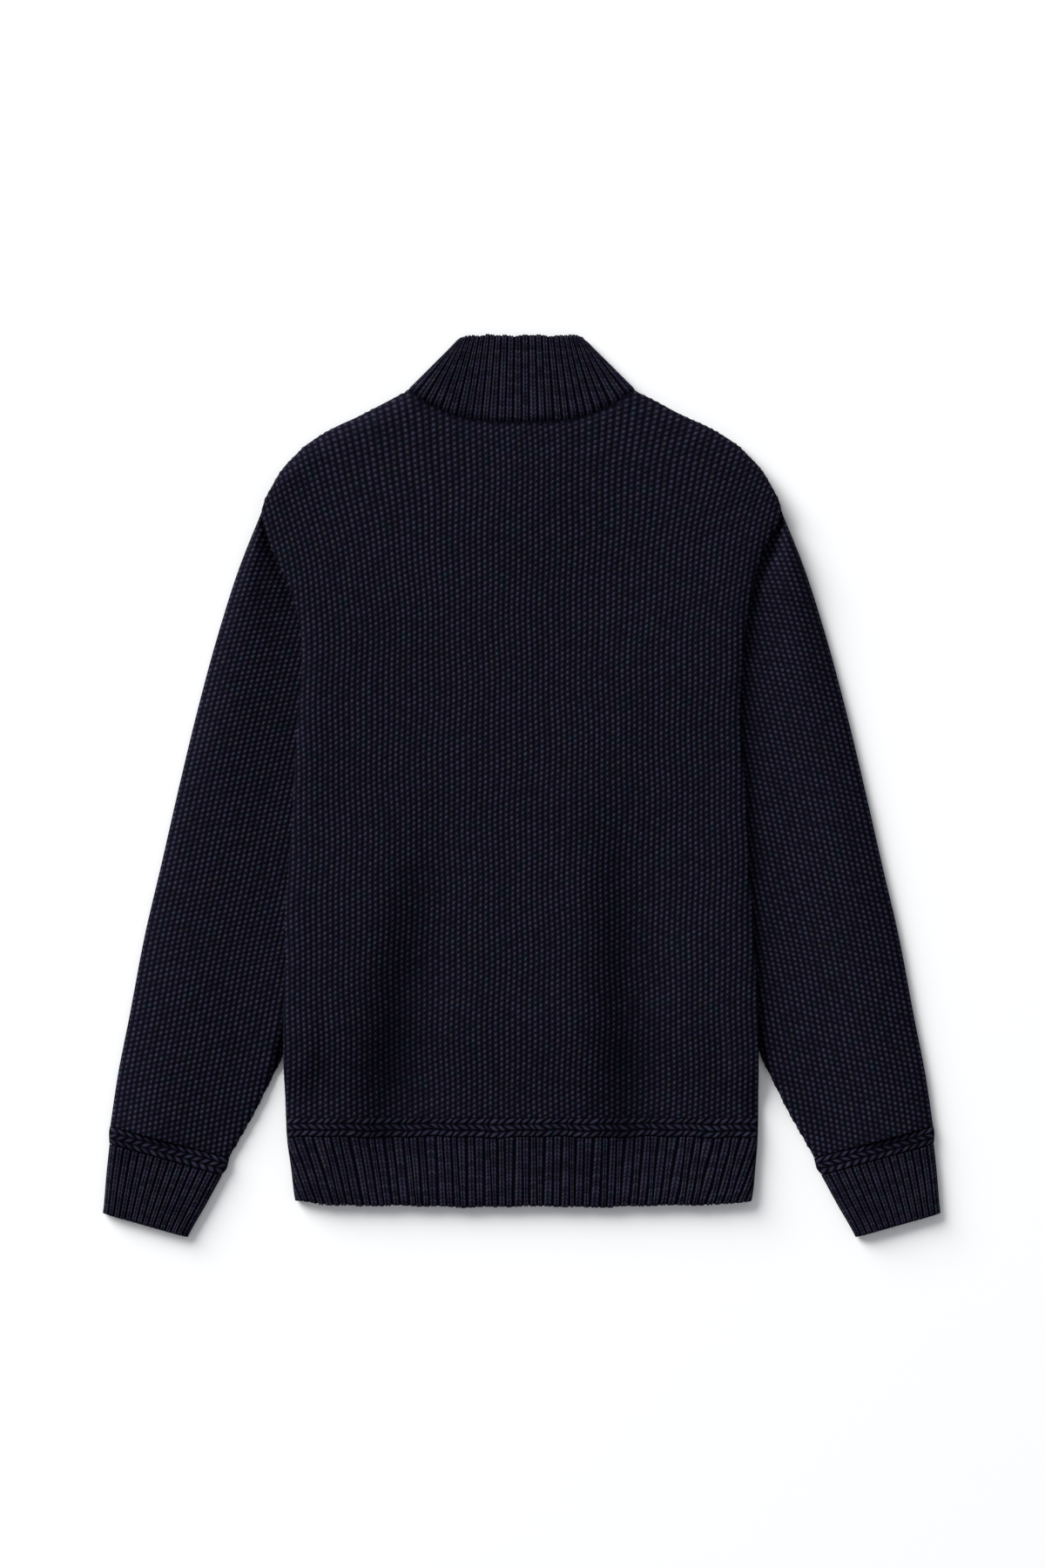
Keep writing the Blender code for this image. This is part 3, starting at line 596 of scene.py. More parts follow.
def wave(tree, turn):
    """A wave from 0 to 1 that peaks at whole turns."""
    cosine = compute(tree, "COSINE", compute(tree, "MULTIPLY", turn, 2 * math.pi))
    return compute(tree, "MULTIPLY_ADD", cosine, 0.5, 0.5)


def bell(tree, x, width):
    """A bell curve of x."""
    square = compute(tree, "POWER", compute(tree, "ABSOLUTE", compute(tree, "DIVIDE", x, width)), 2.0)
    return compute(tree, "EXPONENT", compute(tree, "MULTIPLY", square, -1.0))


def chance(tree, column, turn):
    """A number from 0 to 1 for each stitch, from its column and its count along it."""
    stitch = add(tree, "ShaderNodeCombineXYZ", {0: column, 1: compute(tree, "ROUND", turn)}).outputs[0]
    return add(tree, "ShaderNodeTexWhiteNoise", {"Vector": stitch}, noise_dimensions="2D").outputs["Value"]


# %% [markdown]
# ## Moss stitch in nodes
#
# Each formula gives two values: the height, for the bump, and the painted light and shade, which makes the
# yarn lighter where a stitch would catch the light and darker where it lies in shade. The bead takes the
# painted highlight. Nodes can also hold what is finer than the mesh: the two legs of a wale between its
# beads, and the arm of yarn that runs from bead to bead on a diagonal.


# %% Moss stitch nodes
def moss_height(tree):
    """The moss stitch as sockets: its height, and its painted light and shade.

    A bead takes painted light. Between beads the wale shows its two legs, and an arm joins beads on a
    diagonal."""
    _, along, place, column = stitch_place(tree)
    offset = compute(tree, "MULTIPLY", compute(tree, "FLOORED_MODULO", column, 2.0), 0.5)
    count = compute(tree, "ADD", along, offset)
    x = compute(tree, "SUBTRACT", place, 0.5)
    turn = compute(tree, "MULTIPLY_ADD", x, -SLANT, count)
    bead = compute(tree, "MULTIPLY", bell(tree, x, 0.2), wave(tree, turn))
    arm = wave(tree, compute(tree, "MULTIPLY_ADD", x, -0.5, count))
    arm = compute(tree, "MULTIPLY", arm, compute(tree, "POWER", compute(tree, "ABSOLUTE", x), 2.0))
    legs = wave(tree, compute(tree, "MULTIPLY_ADD", place, 2.0, 0.5))
    size = compute(tree, "MULTIPLY_ADD", chance(tree, column, turn), 0.9, 0.55)
    rise = compute(tree, "SINE", compute(tree, "MULTIPLY", place, math.pi))
    # The beads take most of the painted light and the legs and arms a little. What is left stays in painted
    # shade.
    light = compute(tree, "MULTIPLY", bead, size)
    for part, share in ((rise, 0.02), (legs, 0.08), (arm, 0.33)):
        light = compute(tree, "MULTIPLY_ADD", part, share, light)
    height = compute(tree, "MULTIPLY_ADD", legs, 0.2, compute(tree, "MULTIPLY", bead, 0.9))
    return height, light


# %% [markdown]
# ## Rib and plait in nodes
#
# A rib shows two legs of slanted loops, like a braid, with the ridge's groove on each side in painted shade.
# A power of the height narrows the painted light to the crests, because only the crests catch light. In the
# plait each row leans the other way from the one before it, so the lean follows from the row's number.


# %% Rib and plait nodes
def rib_height(tree):
    """The rib's height, of two legs of slanted loops between deep grooves, and its painted light and shade.
    """
    _, along, place, column = stitch_place(tree)
    inset = compute(tree, "ABSOLUTE", compute(tree, "SUBTRACT", place, 0.5))
    ridge = add(
        tree,
        "ShaderNodeMapRange",
        {0: inset, 1: 0.46, 2: 0.24, 3: 0.0, 4: 1.0},
        interpolation_type="SMOOTHSTEP",
    ).outputs[0]
    middle = compute(tree, "POWER", compute(tree, "MULTIPLY", inset, 4.5), 0.8)
    middle = compute(tree, "MINIMUM", compute(tree, "MULTIPLY_ADD", middle, 0.7, 0.3), 1.0)
    start = chance(tree, column, 0.0)
    turn = compute(tree, "ADD", start, compute(tree, "MULTIPLY_ADD", inset, -1.6, along))
    loops = compute(tree, "MULTIPLY_ADD", wave(tree, turn), 0.4, 0.6)
    height = compute(tree, "MULTIPLY", compute(tree, "MULTIPLY", ridge, middle), loops)
    size = compute(tree, "MULTIPLY_ADD", chance(tree, column, turn), 0.9, 0.55)
    # The crests take painted light; lower down the loops stay in painted shade.
    return height, compute(tree, "MULTIPLY", compute(tree, "POWER", height, 2.0), size)


PLAIT_LIGHT = 0.72  # the plait lies lower than the ribs beside it, so it gets less light


def plait_height(tree):
    """The plait's height, of three rows that lean right, left and right, and its painted light and shade."""
    across, along, _, _ = stitch_place(tree)
    row = compute(tree, "FLOOR", along)
    within = compute(tree, "FRACT", along)
    lean = compute(tree, "MULTIPLY_ADD", compute(tree, "FLOORED_MODULO", row, 2.0), 1.7, -0.85)
    slid = compute(tree, "MULTIPLY", lean, compute(tree, "SUBTRACT", within, 0.5))
    place = compute(tree, "FRACT", compute(tree, "SUBTRACT", across, slid))
    round_across = compute(tree, "SINE", compute(tree, "MULTIPLY", place, math.pi))
    round_along = compute(tree, "SINE", compute(tree, "MULTIPLY", within, math.pi))
    height = compute(
        tree, "MULTIPLY", compute(tree, "POWER", round_across, 0.7), compute(tree, "POWER", round_along, 0.4)
    )
    size = chance(tree, compute(tree, "FLOOR", across), row)
    size = compute(tree, "MULTIPLY_ADD", size, 0.7 * PLAIT_LIGHT, 0.65 * PLAIT_LIGHT)
    # Only the strands' crests take painted light; the rest stays in painted shade.
    return height, compute(tree, "MULTIPLY", compute(tree, "POWER", height, 2.6), size)


# %% [markdown]
# ## The wool
#
# Wool scatters light in its loose surface fibres, so it is rough and has almost no highlight. The stitch
# paints light and shade into the colour: each place is mixed between the painted shade of the grooves and
# the yarn's own colour on the crests. Three soft noises do the rest: two with patches a centimetre wide for
# the uneven dye, and one finer than a stitch for the plies of the yarn. The stored folds darken the whole
# with painted shade.

# %% Knit materials
FOLD_SHADE = 0.42  # how much painted shade darkens the yarn at the bottom of a trough
DYE_PATCHES = ((95.0, YARN_SLATE), (130.0, YARN_BROWN))  # how many to the metre, and their colour
FLECKS = 800.0  # to the metre, so each is about as wide as one ply of the yarn


def knit_material(name, height_of, relief):
    """Navy wool, with painted light and shade from its stitch and its stored folds; relief is the stitch's
    height in metres, for the bump.
    """
    material, tree, shader = new_material(name)
    height, light = height_of(tree)
    spot = add(tree, "ShaderNodeTexCoord").outputs["Object"]
    yarn = linear(YARN_CREST)
    for per_metre, tint in DYE_PATCHES:
        noise = {"Vector": spot, "Scale": per_metre, "Detail": 3.0}
        patch = add(tree, "ShaderNodeTexNoise", noise).outputs[0]
        share = add(tree, "ShaderNodeMapRange", {0: patch, 1: 0.55, 2: 0.75, 3: 0.0, 4: 0.8}).outputs[0]
        mixed = {0: share, 6: yarn, 7: linear(tint)}
        yarn = add(tree, "ShaderNodeMix", mixed, data_type="RGBA").outputs[2]
    noise = {"Vector": spot, "Scale": FLECKS, "Detail": 4.0}
    fleck = add(tree, "ShaderNodeTexNoise", noise).outputs[0]
    # Painted light and shade of the stitch, broken up by the yarn's flecks.
    painted_light_and_shade = compute(tree, "MULTIPLY", light, compute(tree, "MULTIPLY_ADD", fleck, 2.4, -0.2))
    # The stored folds darken the yarn further, as painted shade.
    fold = add(tree, "ShaderNodeAttribute", attribute_name="fold").outputs["Fac"]
    painted_light_and_shade = compute(tree, "MULTIPLY", painted_light_and_shade, compute(tree, "MULTIPLY_ADD", fold, -FOLD_SHADE, 1.0))
    mixed = {0: painted_light_and_shade, 6: linear(YARN_DEEP), 7: yarn}
    colour = add(tree, "ShaderNodeMix", mixed, data_type="RGBA", clamp_factor=True).outputs[2]
    tree.links.new(colour, shader.inputs["Base Color"])
    fine = compute(tree, "MULTIPLY_ADD", fleck, 0.5, height)
    bump = add(tree, "ShaderNodeBump", {"Height": fine, "Distance": relief, "Strength": 0.7})
    tree.links.new(bump.outputs[0], shader.inputs["Normal"])
    shader.inputs["Roughness"].default_value = 0.85
    shader.inputs["IOR"].default_value = 1.54
    # Loose fibres break up a highlight that a smooth surface of this index would have.
    shader.inputs["Specular IOR Level"].default_value = 0.02
    print(name, "has", len(tree.nodes), "nodes")
    return material


moss_knit = knit_material("navy wool moss stitch", moss_height, 0.0006)
rib_knit = knit_material("navy wool rib", rib_height, 0.0006)
plait_knit = knit_material("navy wool plait", plait_height, 0.0008)

# %% [markdown]
# ## How the wales run
#
# On the back the wales run straight up from the hem and lean outwards near the shoulders, where the panel
# widens, and like all laid cloth they wander a little. So the grid is straight in stitches, and one
# function shifts it sideways. The same function, run backwards, tells any point of the body which stitch
# it is on.

# %% Wales
LEAN = 25.0  # how far out the wales have leaned at LEAN_HEIGHT above LEAN_FOOT
LEAN_FOOT, LEAN_HEIGHT = 110.0, 150.0
LEAN_START, LEAN_WIDTH = 20.0, 170.0
WANDER, BEAD_WANDER = 0.8, 0.3  # how far the wales stray, in millimetres, and the rows, in beads
HALF_WALES = 48
PANEL_BEADS = 134  # rows of beads that reach from the plait past the neck
SEARCH_LOW, SEARCH_HIGH = 200.0, 340.0  # the panel's top edge is somewhere between these
HALVINGS = 30


def moss_grid(low_wale, high_wale, lines):
    """A grid that is straight in stitches, with so many lines to a stitch and its rows going down."""
    wales = np.arange(round(low_wale * lines), round(high_wale * lines) + 1) * (WALE / lines)
    y = np.linspace(HEM_TOP + PANEL_BEADS * BEAD, HEM_TOP, PANEL_BEADS * lines + 1)
    return np.meshgrid(wales, y)


def wale_shift(wale, y):
    """How far sideways a wale lies at y from its place at the hem."""
    rise = np.maximum((y - LEAN_FOOT) / LEAN_HEIGHT, 0) ** 2
    lean = LEAN * rise * np.sign(wale) * smooth_step((np.abs(wale) - LEAN_START) / LEAN_WIDTH)
    return lean + WANDER * (np.sin(y / 31 + wale / 47) + 0.6 * np.sin(y / 13 - wale / 29))


def wale_top(wale, neckline):
    """Where each wale meets the neck or the shoulder, found by halving."""
    low, high = np.full(wale.shape, SEARCH_LOW), np.full(wale.shape, SEARCH_HIGH)
    for _ in range(HALVINGS):
        middle = (low + high) / 2
        inside = top_edge(wale + wale_shift(wale, middle), neckline) > middle
        low, high = np.where(inside, middle, low), np.where(inside, high, middle)
    return low


def cut_to_panel(wale, y, neckline):
    """The grid on a body panel, with its points outside the panel moved on to the outline."""
    y = np.minimum(y, wale_top(wale[:1], neckline))
    x = wale + wale_shift(wale, y)
    half = side_of(BODY, x, y)
    return np.clip(x, -half, half), y


def stitch_count(x, y):
    """Where a point of the body is, in wales and beads. Each round brings its wale nearer."""
    wale = x
    for _ in range(14):
        wale = x - wale_shift(wale, y)
    beads = (y - HEM_TOP) / BEAD + BEAD_WANDER * np.sin(x / 37 + y / 71)
    return np.stack([wale / WALE, beads], axis=2)


print("the outermost wales lean out by", round(float(wale_shift(200.0, 250.0)), 1), "mm at the shoulder")

# %% [markdown]
# ## The back
#
# The back is the whole picture: one panel of moss stitch from the hem's band up to the neck and the
# shoulders. A plain sheet with a displacement picture would need far more faces to hold its beads. So its
# mesh is the grid of wales itself, cut by the outline and laid over the height of the layers under it. It
# is made in two halves that meet in a groove on the centre line, only to keep each mesh light.

# %% Back
INNER_STEP = 8  # the inner skin has every eighth line of the outer one
LEAST_PLY, INNER_CLEAR = 0.8, 0.6  # it stays this far under the outer skin, and this near the front
SPLIT_DIP = 0.2  # how far one column on the centre line dips


def make_back(name, low_wale, high_wale, inner_column):
    """One half of the back. Its inner column dips just under the other half, so that the groove where
    they meet is shaded like every other."""
    wale, y = moss_grid(low_wale, high_wale, 4)
    x, y = cut_to_panel(wale, y, neck_back)
    uv = stitch_count(x, y)
    base = np.stack([x, y, back_height(x, y)], axis=2)
    normal = height_normals(x, y, back_height)
    outer = base + (BEAD_HEIGHT * (moss(uv[..., 0], uv[..., 1]) - 0.5))[..., None] * normal
    outer[:, inner_column, 2] -= SPLIT_DIP
    down, across = picks(x.shape[0], INNER_STEP), picks(x.shape[1], INNER_STEP)
    few = np.ix_(down, across)
    inner = (base - PLY * normal)[few]
    inner[..., 2] = np.maximum(inner[..., 2], front_top(inner[..., 0], inner[..., 1]) - INNER_CLEAR)
    inner[..., 2] = np.minimum(inner[..., 2], base[few][..., 2] - LEAST_PLY)
    return knit_wall(name, outer, inner, uv, down, across, moss_knit)


back_halves = [
    make_back("back_knit_left", -HALF_WALES, 0.25, -1),
    make_back("back_knit_right", -0.25, HALF_WALES, 0),
]
for half in back_halves:
    mark_painted_fold_shade(half)

# %% [markdown]
# ## The two fronts
#
# The fronts lie face down on the table, so their stitches point at it and the crests touch it. Plain
# sheets would do for the photograph, but a part from a library may be turned over. They are made as the
# back is, and half as many mesh lines are enough for relief that is seen only from below.

# %% Fronts
SIDES = ((-1, "left"), (1, "right"))
FRONT_BEAD = 0.9
FRONT_PLY = SOLID_PLY - 0.2


def front_height(x, y):
    return climb(x, y) + FRONT_BEAD


def make_front(side, name):
    wale, y = moss_grid(1, HALF_WALES, 2)
    x, y = cut_to_panel(side * wale, y, neck_front)
    x = side * x
    x[:, 0] = SLOT_HALF
    uv = stitch_count(x, y)
    base = np.stack([x, y, front_height(x, y)], axis=2)
    normal = -height_normals(x, y, front_height)
    outer = base + (FRONT_BEAD * moss(uv[..., 0], uv[..., 1]))[..., None] * normal
    down, across = picks(x.shape[0], 4), picks(x.shape[1], 4)
    inner = base[np.ix_(down, across)] + (0, 0, FRONT_PLY - FRONT_BEAD)
    across = [x.shape[1] - 1 - c for c in reversed(across)]
    return knit_wall(
        name, outer[:, ::-1], inner[:, ::-1], uv[:, ::-1], down, across, moss_knit, mirror=side
    )


fronts = {word: make_front(side, f"front_knit_{word}") for side, word in SIDES}

# %% [markdown]
# ## The sleeves
#
# A sleeve is a flattened tube, with one fold along its outer edge and one along its inner edge, most of
# which is tucked under the body. It could be cut from a straight grid like the back, but its wales follow
# its slant. They run along the outer fold, so the grid is measured from that: from each of its points a
# row of stitches runs inwards, and is cut off where it meets the inner fold.

# %% Lines of a sleeve
SLEEVE_LENGTH, SLEEVE_REACH = 540.0, 216.0  # the knitted length, and the widest that it lies flat
SLEEVE_WALES = 27  # across the part of the sleeve that shows
SLEEVE_LINES = 4  # mesh lines to a stitch
SLEEVE_SWELL, SWELL_OUT = 5.6, 1.7  # the ridge, and how strongly it lies towards the outer fold
SLEEVE_WAVES = 0.8  # share of the back's waves that the sleeve has
CAP_SWELL = 5.5  # what the sleeve's head adds, to meet the shoulder
CAP_LOW, CAP_RUN = 120.0, 90.0  # from where, and over what length, the head rises
CAP_TOP, CAP_END, CAP_LOSS = 218.0, 16.0, 0.9  # and where its tip sinks again at the shoulder point
TIP_SHARE, TIP_RUN = 0.3, 9.0  # how flat the sleeve's tip starts, and where it is round
CUFF_TURN = 200.0  # length over which the rows turn to lie along the cuff
FOLD_RIM = 10.0  # width over which the sleeve rounds off at its folds


def along_table(rows, column, count):
    """Points along a pair of a table's columns, at even steps of the outer edge's length."""
    steps = np.hypot(np.diff(rows["outer_x"]), np.diff(rows["outer_y"]))
    length = np.concatenate([[0], np.cumsum(steps)])
    even = {"at": length, "x": rows[f"{column}_x"], "y": rows[f"{column}_y"]}
    at = np.linspace(0, length[-1], count)
    return np.stack([read(even, "at", "x", at), read(even, "at", "y", at)], axis=1), length[-1]


def reach_inside(start, direction, corners):
    """How far each ray goes before it meets the line through the corners."""
    reach = np.full(len(start), 400.0)
    for a, b in zip(corners[:-1], corners[1:]):
        edge = b - a
        cross = direction[:, 0] * edge[1] - direction[:, 1] * edge[0]
        cross = np.where(np.abs(cross) < 1e-9, 1e-9, cross)
        gap = a - start
        far = (gap[:, 0] * edge[1] - gap[:, 1] * edge[0]) / cross
        share = (gap[:, 0] * direction[:, 1] - gap[:, 1] * direction[:, 0]) / cross
        hit = (far > 1e-6) & (share >= -1e-6) & (share <= 1 + 1e-6)
        reach = np.where(hit, np.minimum(reach, far), reach)
    return reach


def sleeve_rays():
    """The outer fold's points, the way inwards, the reach to the inner fold, and the length so far."""
    edge, length = along_table(SLEEVE, "outer", round(SLEEVE_LENGTH / BEAD) * SLEEVE_LINES + 1)
    along = np.linspace(0, length, len(edge))
    tangent = unit(np.gradient(edge, axis=0))
    inward = np.stack([tangent[:, 1], -tangent[:, 0]], axis=1)
    inner_edge = np.stack([SLEEVE["inner_x"], SLEEVE["inner_y"]], axis=1)
    cuff_line = inner_edge[-1] - edge[-1]
    near_cuff = smooth_step((along - length + CUFF_TURN) / CUFF_TURN)[:, None]
    inward = unit(inward * (1 - near_cuff) + near_cuff * cuff_line / np.linalg.norm(cuff_line))
    reach = reach_inside(edge, inward, np.concatenate([edge[:1], inner_edge]))
    reach = np.clip(reach, 2 * EDGE + 0.1, SLEEVE_REACH)
    reach[-1] = np.linalg.norm(cuff_line)
    return edge, inward, reach, along


edge, inward, reach, along = sleeve_rays()
print(f"the sleeve has {len(edge)} rows over {along[-1]:.0f} mm, and is {reach.max():.0f} mm wide")

# %% [markdown]
# ## The sleeve's two sides
#
# Where it comes out from under the body the sleeve lies low, and it swells to a ridge before the outer
# fold, as a soft tube does. Its head rises to meet the shoulder. The side on the table is flat.


# %% Sides of a sleeve
def sleeve_swell(x, y, side):
    """How high the sleeve's top stands over its flat part, from the body's edge to the outer fold."""
    outer = np.interp(y, SLEEVE["outer_y"][::-1], SLEEVE["outer_x"][::-1])
    hidden = np.interp(y, SLEEVE["inner_y"][::-1], SLEEVE["inner_x"][::-1])
    under = np.maximum(read(BODY, "y", "left", y), read(BODY, "y", "right", y)) + 1.0
    inner = np.where(y < RAMP_END + RAMP_FADE, hidden, np.maximum(under, hidden))
    place = np.clip((x - inner) / np.maximum(outer - inner, 1.0), 0, 1)
    # Beside the body's edge the swell and the head fade in, over a few millimetres.
    shown = smooth_step((x - inner) / 12)
    head_width = np.clip(0.35 * (outer - inner), 1.0, 9.0)
    head = CAP_SWELL * smooth_step((y - CAP_LOW) / CAP_RUN) * smooth_step((x - inner) / head_width)
    head *= 1 - CAP_LOSS * smooth_step((y - CAP_TOP) / CAP_END)
    swell = SLEEVE_SWELL + SLEEVE_WAVES * waves(side * x, y)
    return swell * np.sin(math.pi * place**SWELL_OUT) * shown + head


def sleeve_top(side, edge, inward, reach, along):
    """The upper side's points and normals, and how far each point is from the outer fold."""
    fine = np.arange(SLEEVE_WALES * SLEEVE_LINES + 1) * (WALE / SLEEVE_LINES)
    lines = np.concatenate([fine, np.linspace(fine[-1], SLEEVE_REACH, 9)[1:]])
    from_fold = np.minimum(lines[None, :], reach[:, None])
    spot = edge[:, None, :] + from_fold[..., None] * inward[:, None, :]
    left = reach[:, None] - from_fold
    share = rounded(from_fold / FOLD_RIM) * rounded(left / FOLD_RIM)
    share *= TIP_SHARE + (1 - TIP_SHARE) * smooth_step(along / TIP_RUN)[:, None]
    z = EDGE + share * (EDGE + sleeve_swell(spot[..., 0], spot[..., 1], side))
    slope = np.gradient(z, axis=1) / np.maximum(np.gradient(from_fold, axis=1), 0.05)
    slope = np.where(left < 0.01, -STEEPEST, np.clip(slope, -STEEPEST, STEEPEST))
    normal = np.concatenate([-slope[..., None] * inward[:, None, :], np.ones_like(z)[..., None]], axis=2)
    return np.concatenate([spot, z[..., None]], axis=2), unit(normal), from_fold


def sleeve_under(edge, inward, reach):
    """The underside's points, round the inner fold, along the table and round the outer fold."""
    turns = np.radians([30.0, 60.0])
    folds = [(EDGE * (1 - math.cos(a)), EDGE * (1 - math.sin(a))) for a in turns]
    lines = [(reach - inset, height) for inset, height in folds]
    lines += [(EDGE + (reach - 2 * EDGE) * f, 0.0) for f in np.linspace(1, 0, 13)]
    lines += [(np.full(len(edge), inset), height) for inset, height in folds[::-1]]
    spots = [edge + inset[:, None] * inward for inset, _ in lines]
    heights = np.array([height for _, height in lines])
    spots = np.stack(spots, axis=1)
    heights = np.broadcast_to(heights[None, :, None], (*spots.shape[:2], 1))
    return np.concatenate([spots, heights], axis=2)


under = sleeve_under(edge, inward, reach)
print("height of the sleeve's inner fold:", round(float(under[0, 0, 2]), 1), "mm at its first line")

# %% [markdown]
# ## The sleeve's wall
#
# The two sides make one closed ring of stitches for each row. Only the upper side gets relief, since the
# lower one lies on the table, and both carry the stitch coordinates on for the material.


# %% Sleeve walls
def stitch_grid(u, v):
    """Places in stitches over a grid, from arrays that fit its columns and its rows."""
    return np.stack(np.broadcast_arrays(u, v), axis=2)


def make_sleeve(side, name):
    edge, inward, reach, along = sleeve_rays()
    top, top_normal, from_fold = sleeve_top(side, edge, inward, reach, along)
    under = sleeve_under(edge, inward, reach)
    under_normal = surface_normals(np.concatenate([top[:, -1:], under, top[:, :1]], axis=1))[:, 1:-1]
    away = np.linalg.norm(under[..., :2] - edge[:, None, :], axis=2)
    base = np.concatenate([top, under], axis=1)
    normal = np.concatenate([top_normal, -under_normal], axis=1)
    beads = np.linspace(0, along[-1] / BEAD, len(edge))[:, None]
    uv = stitch_grid(np.concatenate([from_fold, away], axis=1) / WALE, -beads)
    lines, columns = top.shape[1], base.shape[1]
    relief = BEAD_HEIGHT * (moss(uv[..., 0], uv[..., 1]) - 0.5)
    relief[:, lines:] = 0
    outer = base + relief[..., None] * normal
    down = picks(len(edge), INNER_STEP)
    across = [*range(0, lines, INNER_STEP), *range(lines, columns)]
    inner = (base - PLY * normal)[np.ix_(down, across)]
    inner[..., 2] = np.maximum(inner[..., 2], PLY)
    # Seen from outside, the wall's columns run the other way round, and start at a picked one.
    across = [columns - 1 - k for k in reversed(across)]
    start = across[0]
    outer, uv = np.roll(outer[:, ::-1], -start, axis=1), np.roll(uv[:, ::-1], -start, axis=1)
    across = [k - start for k in across]
    return knit_wall(name, outer, inner[:, ::-1], uv, down, across, moss_knit, loop=True, mirror=side)


sleeves = {word: make_sleeve(side, f"sleeve_knit_{word}") for side, word in SIDES}

# %% [markdown]
# ## Ribs and plaits
#
# The hem, cuffs and collar are knitted bands folded flat, so each is a ring: along the floor, round a
# fold, over the top and back. A rib is a broad raised pair of wales, with a deep groove beside it and one
# about half as deep down its middle. The band above it looks plaited: three rows of short strands that
# lean right, left and right. The undersides stay plain in the mesh, and the material carries the stitches
# on round the folds.

# %% Bands
RIB_HEIGHT = 1.9
PLAIT_HEIGHT = 2.0
RIB_LINES = 8  # mesh lines to a rib, and to a strand of the plait
LOOP = 3.4  # length of one loop along a rib
BAND_RIM = 9.0  # width over which a band rounds off at its folds


def rib(u):
    """Height of the rib from 0 to 1, at u ribs."""
    inset = np.abs(u - np.floor(u) - 0.5)
    ridge = smooth_step((0.44 - inset) / 0.24) * (0.72 + 0.28 * scatter(np.floor(u), 3.0))
    return ridge * (1 - 0.55 * np.exp(-((inset / 0.1) ** 2)))


def plait(u, v):
    """Height of the plait from 0 to 1, at u strands and v rows from the top."""
    row, within = np.floor(v), v - np.floor(v)
    lean = 1.7 * (row % 2) - 0.85
    place = u - lean * (within - 0.5)
    size = 0.7 + 0.3 * scatter(np.floor(place), row)
    place = place - np.floor(place)
    return size * np.sin(math.pi * place) ** 0.7 * np.sin(math.pi * within) ** 0.4


print("rib height, beside its middle and in it:", np.round(RIB_HEIGHT * rib(np.array([0.28, 0.5])), 2))

# %% [markdown]
# ## A band as a ring
#
# All bands share one way to lie: a flattened ring. So one function gives the places round it and their
# height, and another turns rows of rings into a wall.


# %% Rings
def ring(left, right, tops, bottoms, rim, slot=0.0):
    """A flattened ring, from the slot in its floor round the right edge, over the top and back.

    It gives the places across, the height of the part below the fold, the share of the top's height
    that the rest has, and which places are the top's."""
    arc = np.linspace(0, math.pi / 2, 4)[1:]
    floor_right = slot + (right - EDGE - slot) * bottoms
    floor_left = -(slot + (left - EDGE - slot) * bottoms[::-1])
    if slot == 0:
        floor_left = floor_left[:-1]
    over = np.where(tops < 0, tops * left, tops * right)
    gap = np.where(tops < 0, left + over, right - over)
    across = np.concatenate([
        floor_right,
        right - EDGE + EDGE * np.sin(arc),
        over,
        -(left - EDGE + EDGE * np.sin(arc[::-1])),
        floor_left,
    ])
    low = np.concatenate([
        np.zeros(len(floor_right)),
        EDGE - EDGE * np.cos(arc),
        np.full(len(tops), EDGE),
        EDGE - EDGE * np.cos(arc[::-1]),
        np.zeros(len(floor_left)),
    ])
    share = np.zeros(len(across))
    first = len(floor_right) + len(arc)
    share[first : first + len(tops)] = rounded(gap / rim)
    return across, low, share, slice(first, first + len(tops))


def band_wall(name, base, relief, uv, top, material, loop=False, mirror=1):
    """A band's wall from its rows of rings; top is the run of columns that is the upper side."""
    base, relief, uv = base[:, ::-1], relief[:, ::-1], uv[:, ::-1]
    columns = base.shape[1]
    normal = surface_normals(base, loop)
    outer = base + relief[..., None] * normal
    first, last = columns - top.stop, columns - top.start
    across = [*range(first), *range(first, last, 6), *range(last, columns)]
    down = picks(len(base), 6)
    inner = (base - PLY * normal)[np.ix_(down, across)]
    return knit_wall(name, outer, inner, uv, down, across, material, loop=loop, mirror=mirror)


def top_relief(base, top, rise):
    """Relief on the upper side of a ring only."""
    relief = np.zeros(base.shape[:2])
    relief[:, top] = rise
    return relief


def plait_wall(name, base, top, tops, u, rim, **how):
    """A plaited band, whose strands flatten out at the folds over a share of half the width."""
    v = np.linspace(0.001, 2.999, len(base))[:, None]
    rise = PLAIT_HEIGHT * (plait(u[top], v) - 0.45) * smooth_step((1 - np.abs(tops)) / rim)
    return band_wall(name, base, top_relief(base, top, rise), stitch_grid(u, v), top, plait_knit, **how)


def straight_places(count):
    """Places from 1 to -1 over a ring's top, with its two ends left to the folds."""
    return np.linspace(1, -1, count * RIB_LINES + 1)[1:-1]


def uneven(places, start):
    """The same places with the ribs between them a little wider and narrower, as cloth lies."""
    shift = 0.0045 * np.sin(37 * places + start) + 0.003 * np.sin(91 * places + 2 * start)
    return np.clip(places + shift * (1 - places**8), -1, 1)


print("lines across a band of 10 ribs:", len(straight_places(10)))

# %% [markdown]
# ## The hem
#
# The hem runs from the zip round the back to the zip. It could be the back's own edge in another finish,
# but ribs are deeper than moss stitch and show in the outline, so it is a band of its own. Its ribs stand
# out a little at the edge, which gives it its scallops, and it sinks where the back's troughs run in.

# %% Hem
HEM_RIBS = 60
HEM_STRANDS = 62
HEM_SAG = 0.75  # the share of the back's troughs that runs on into the hem
HEM_RIM = 0.02  # the stitches flatten out over this share of half the width
LAST_ROWS = [-351.0, -351.7, -352.0]
LAST_SINK = np.array([[0.15], [0.45], [0.9]])  # how the ribs round off at the edge
LAST_SCALLOP = np.array([[0.4], [0.8], [1.2]])  # and how much of its height each stands out there
HEM_LEAN = 0.095  # how much further out the outermost ribs stand at the plait than at the edge
HEM_BOW = 4.2  # how much higher the edge lies at its ends than in the middle


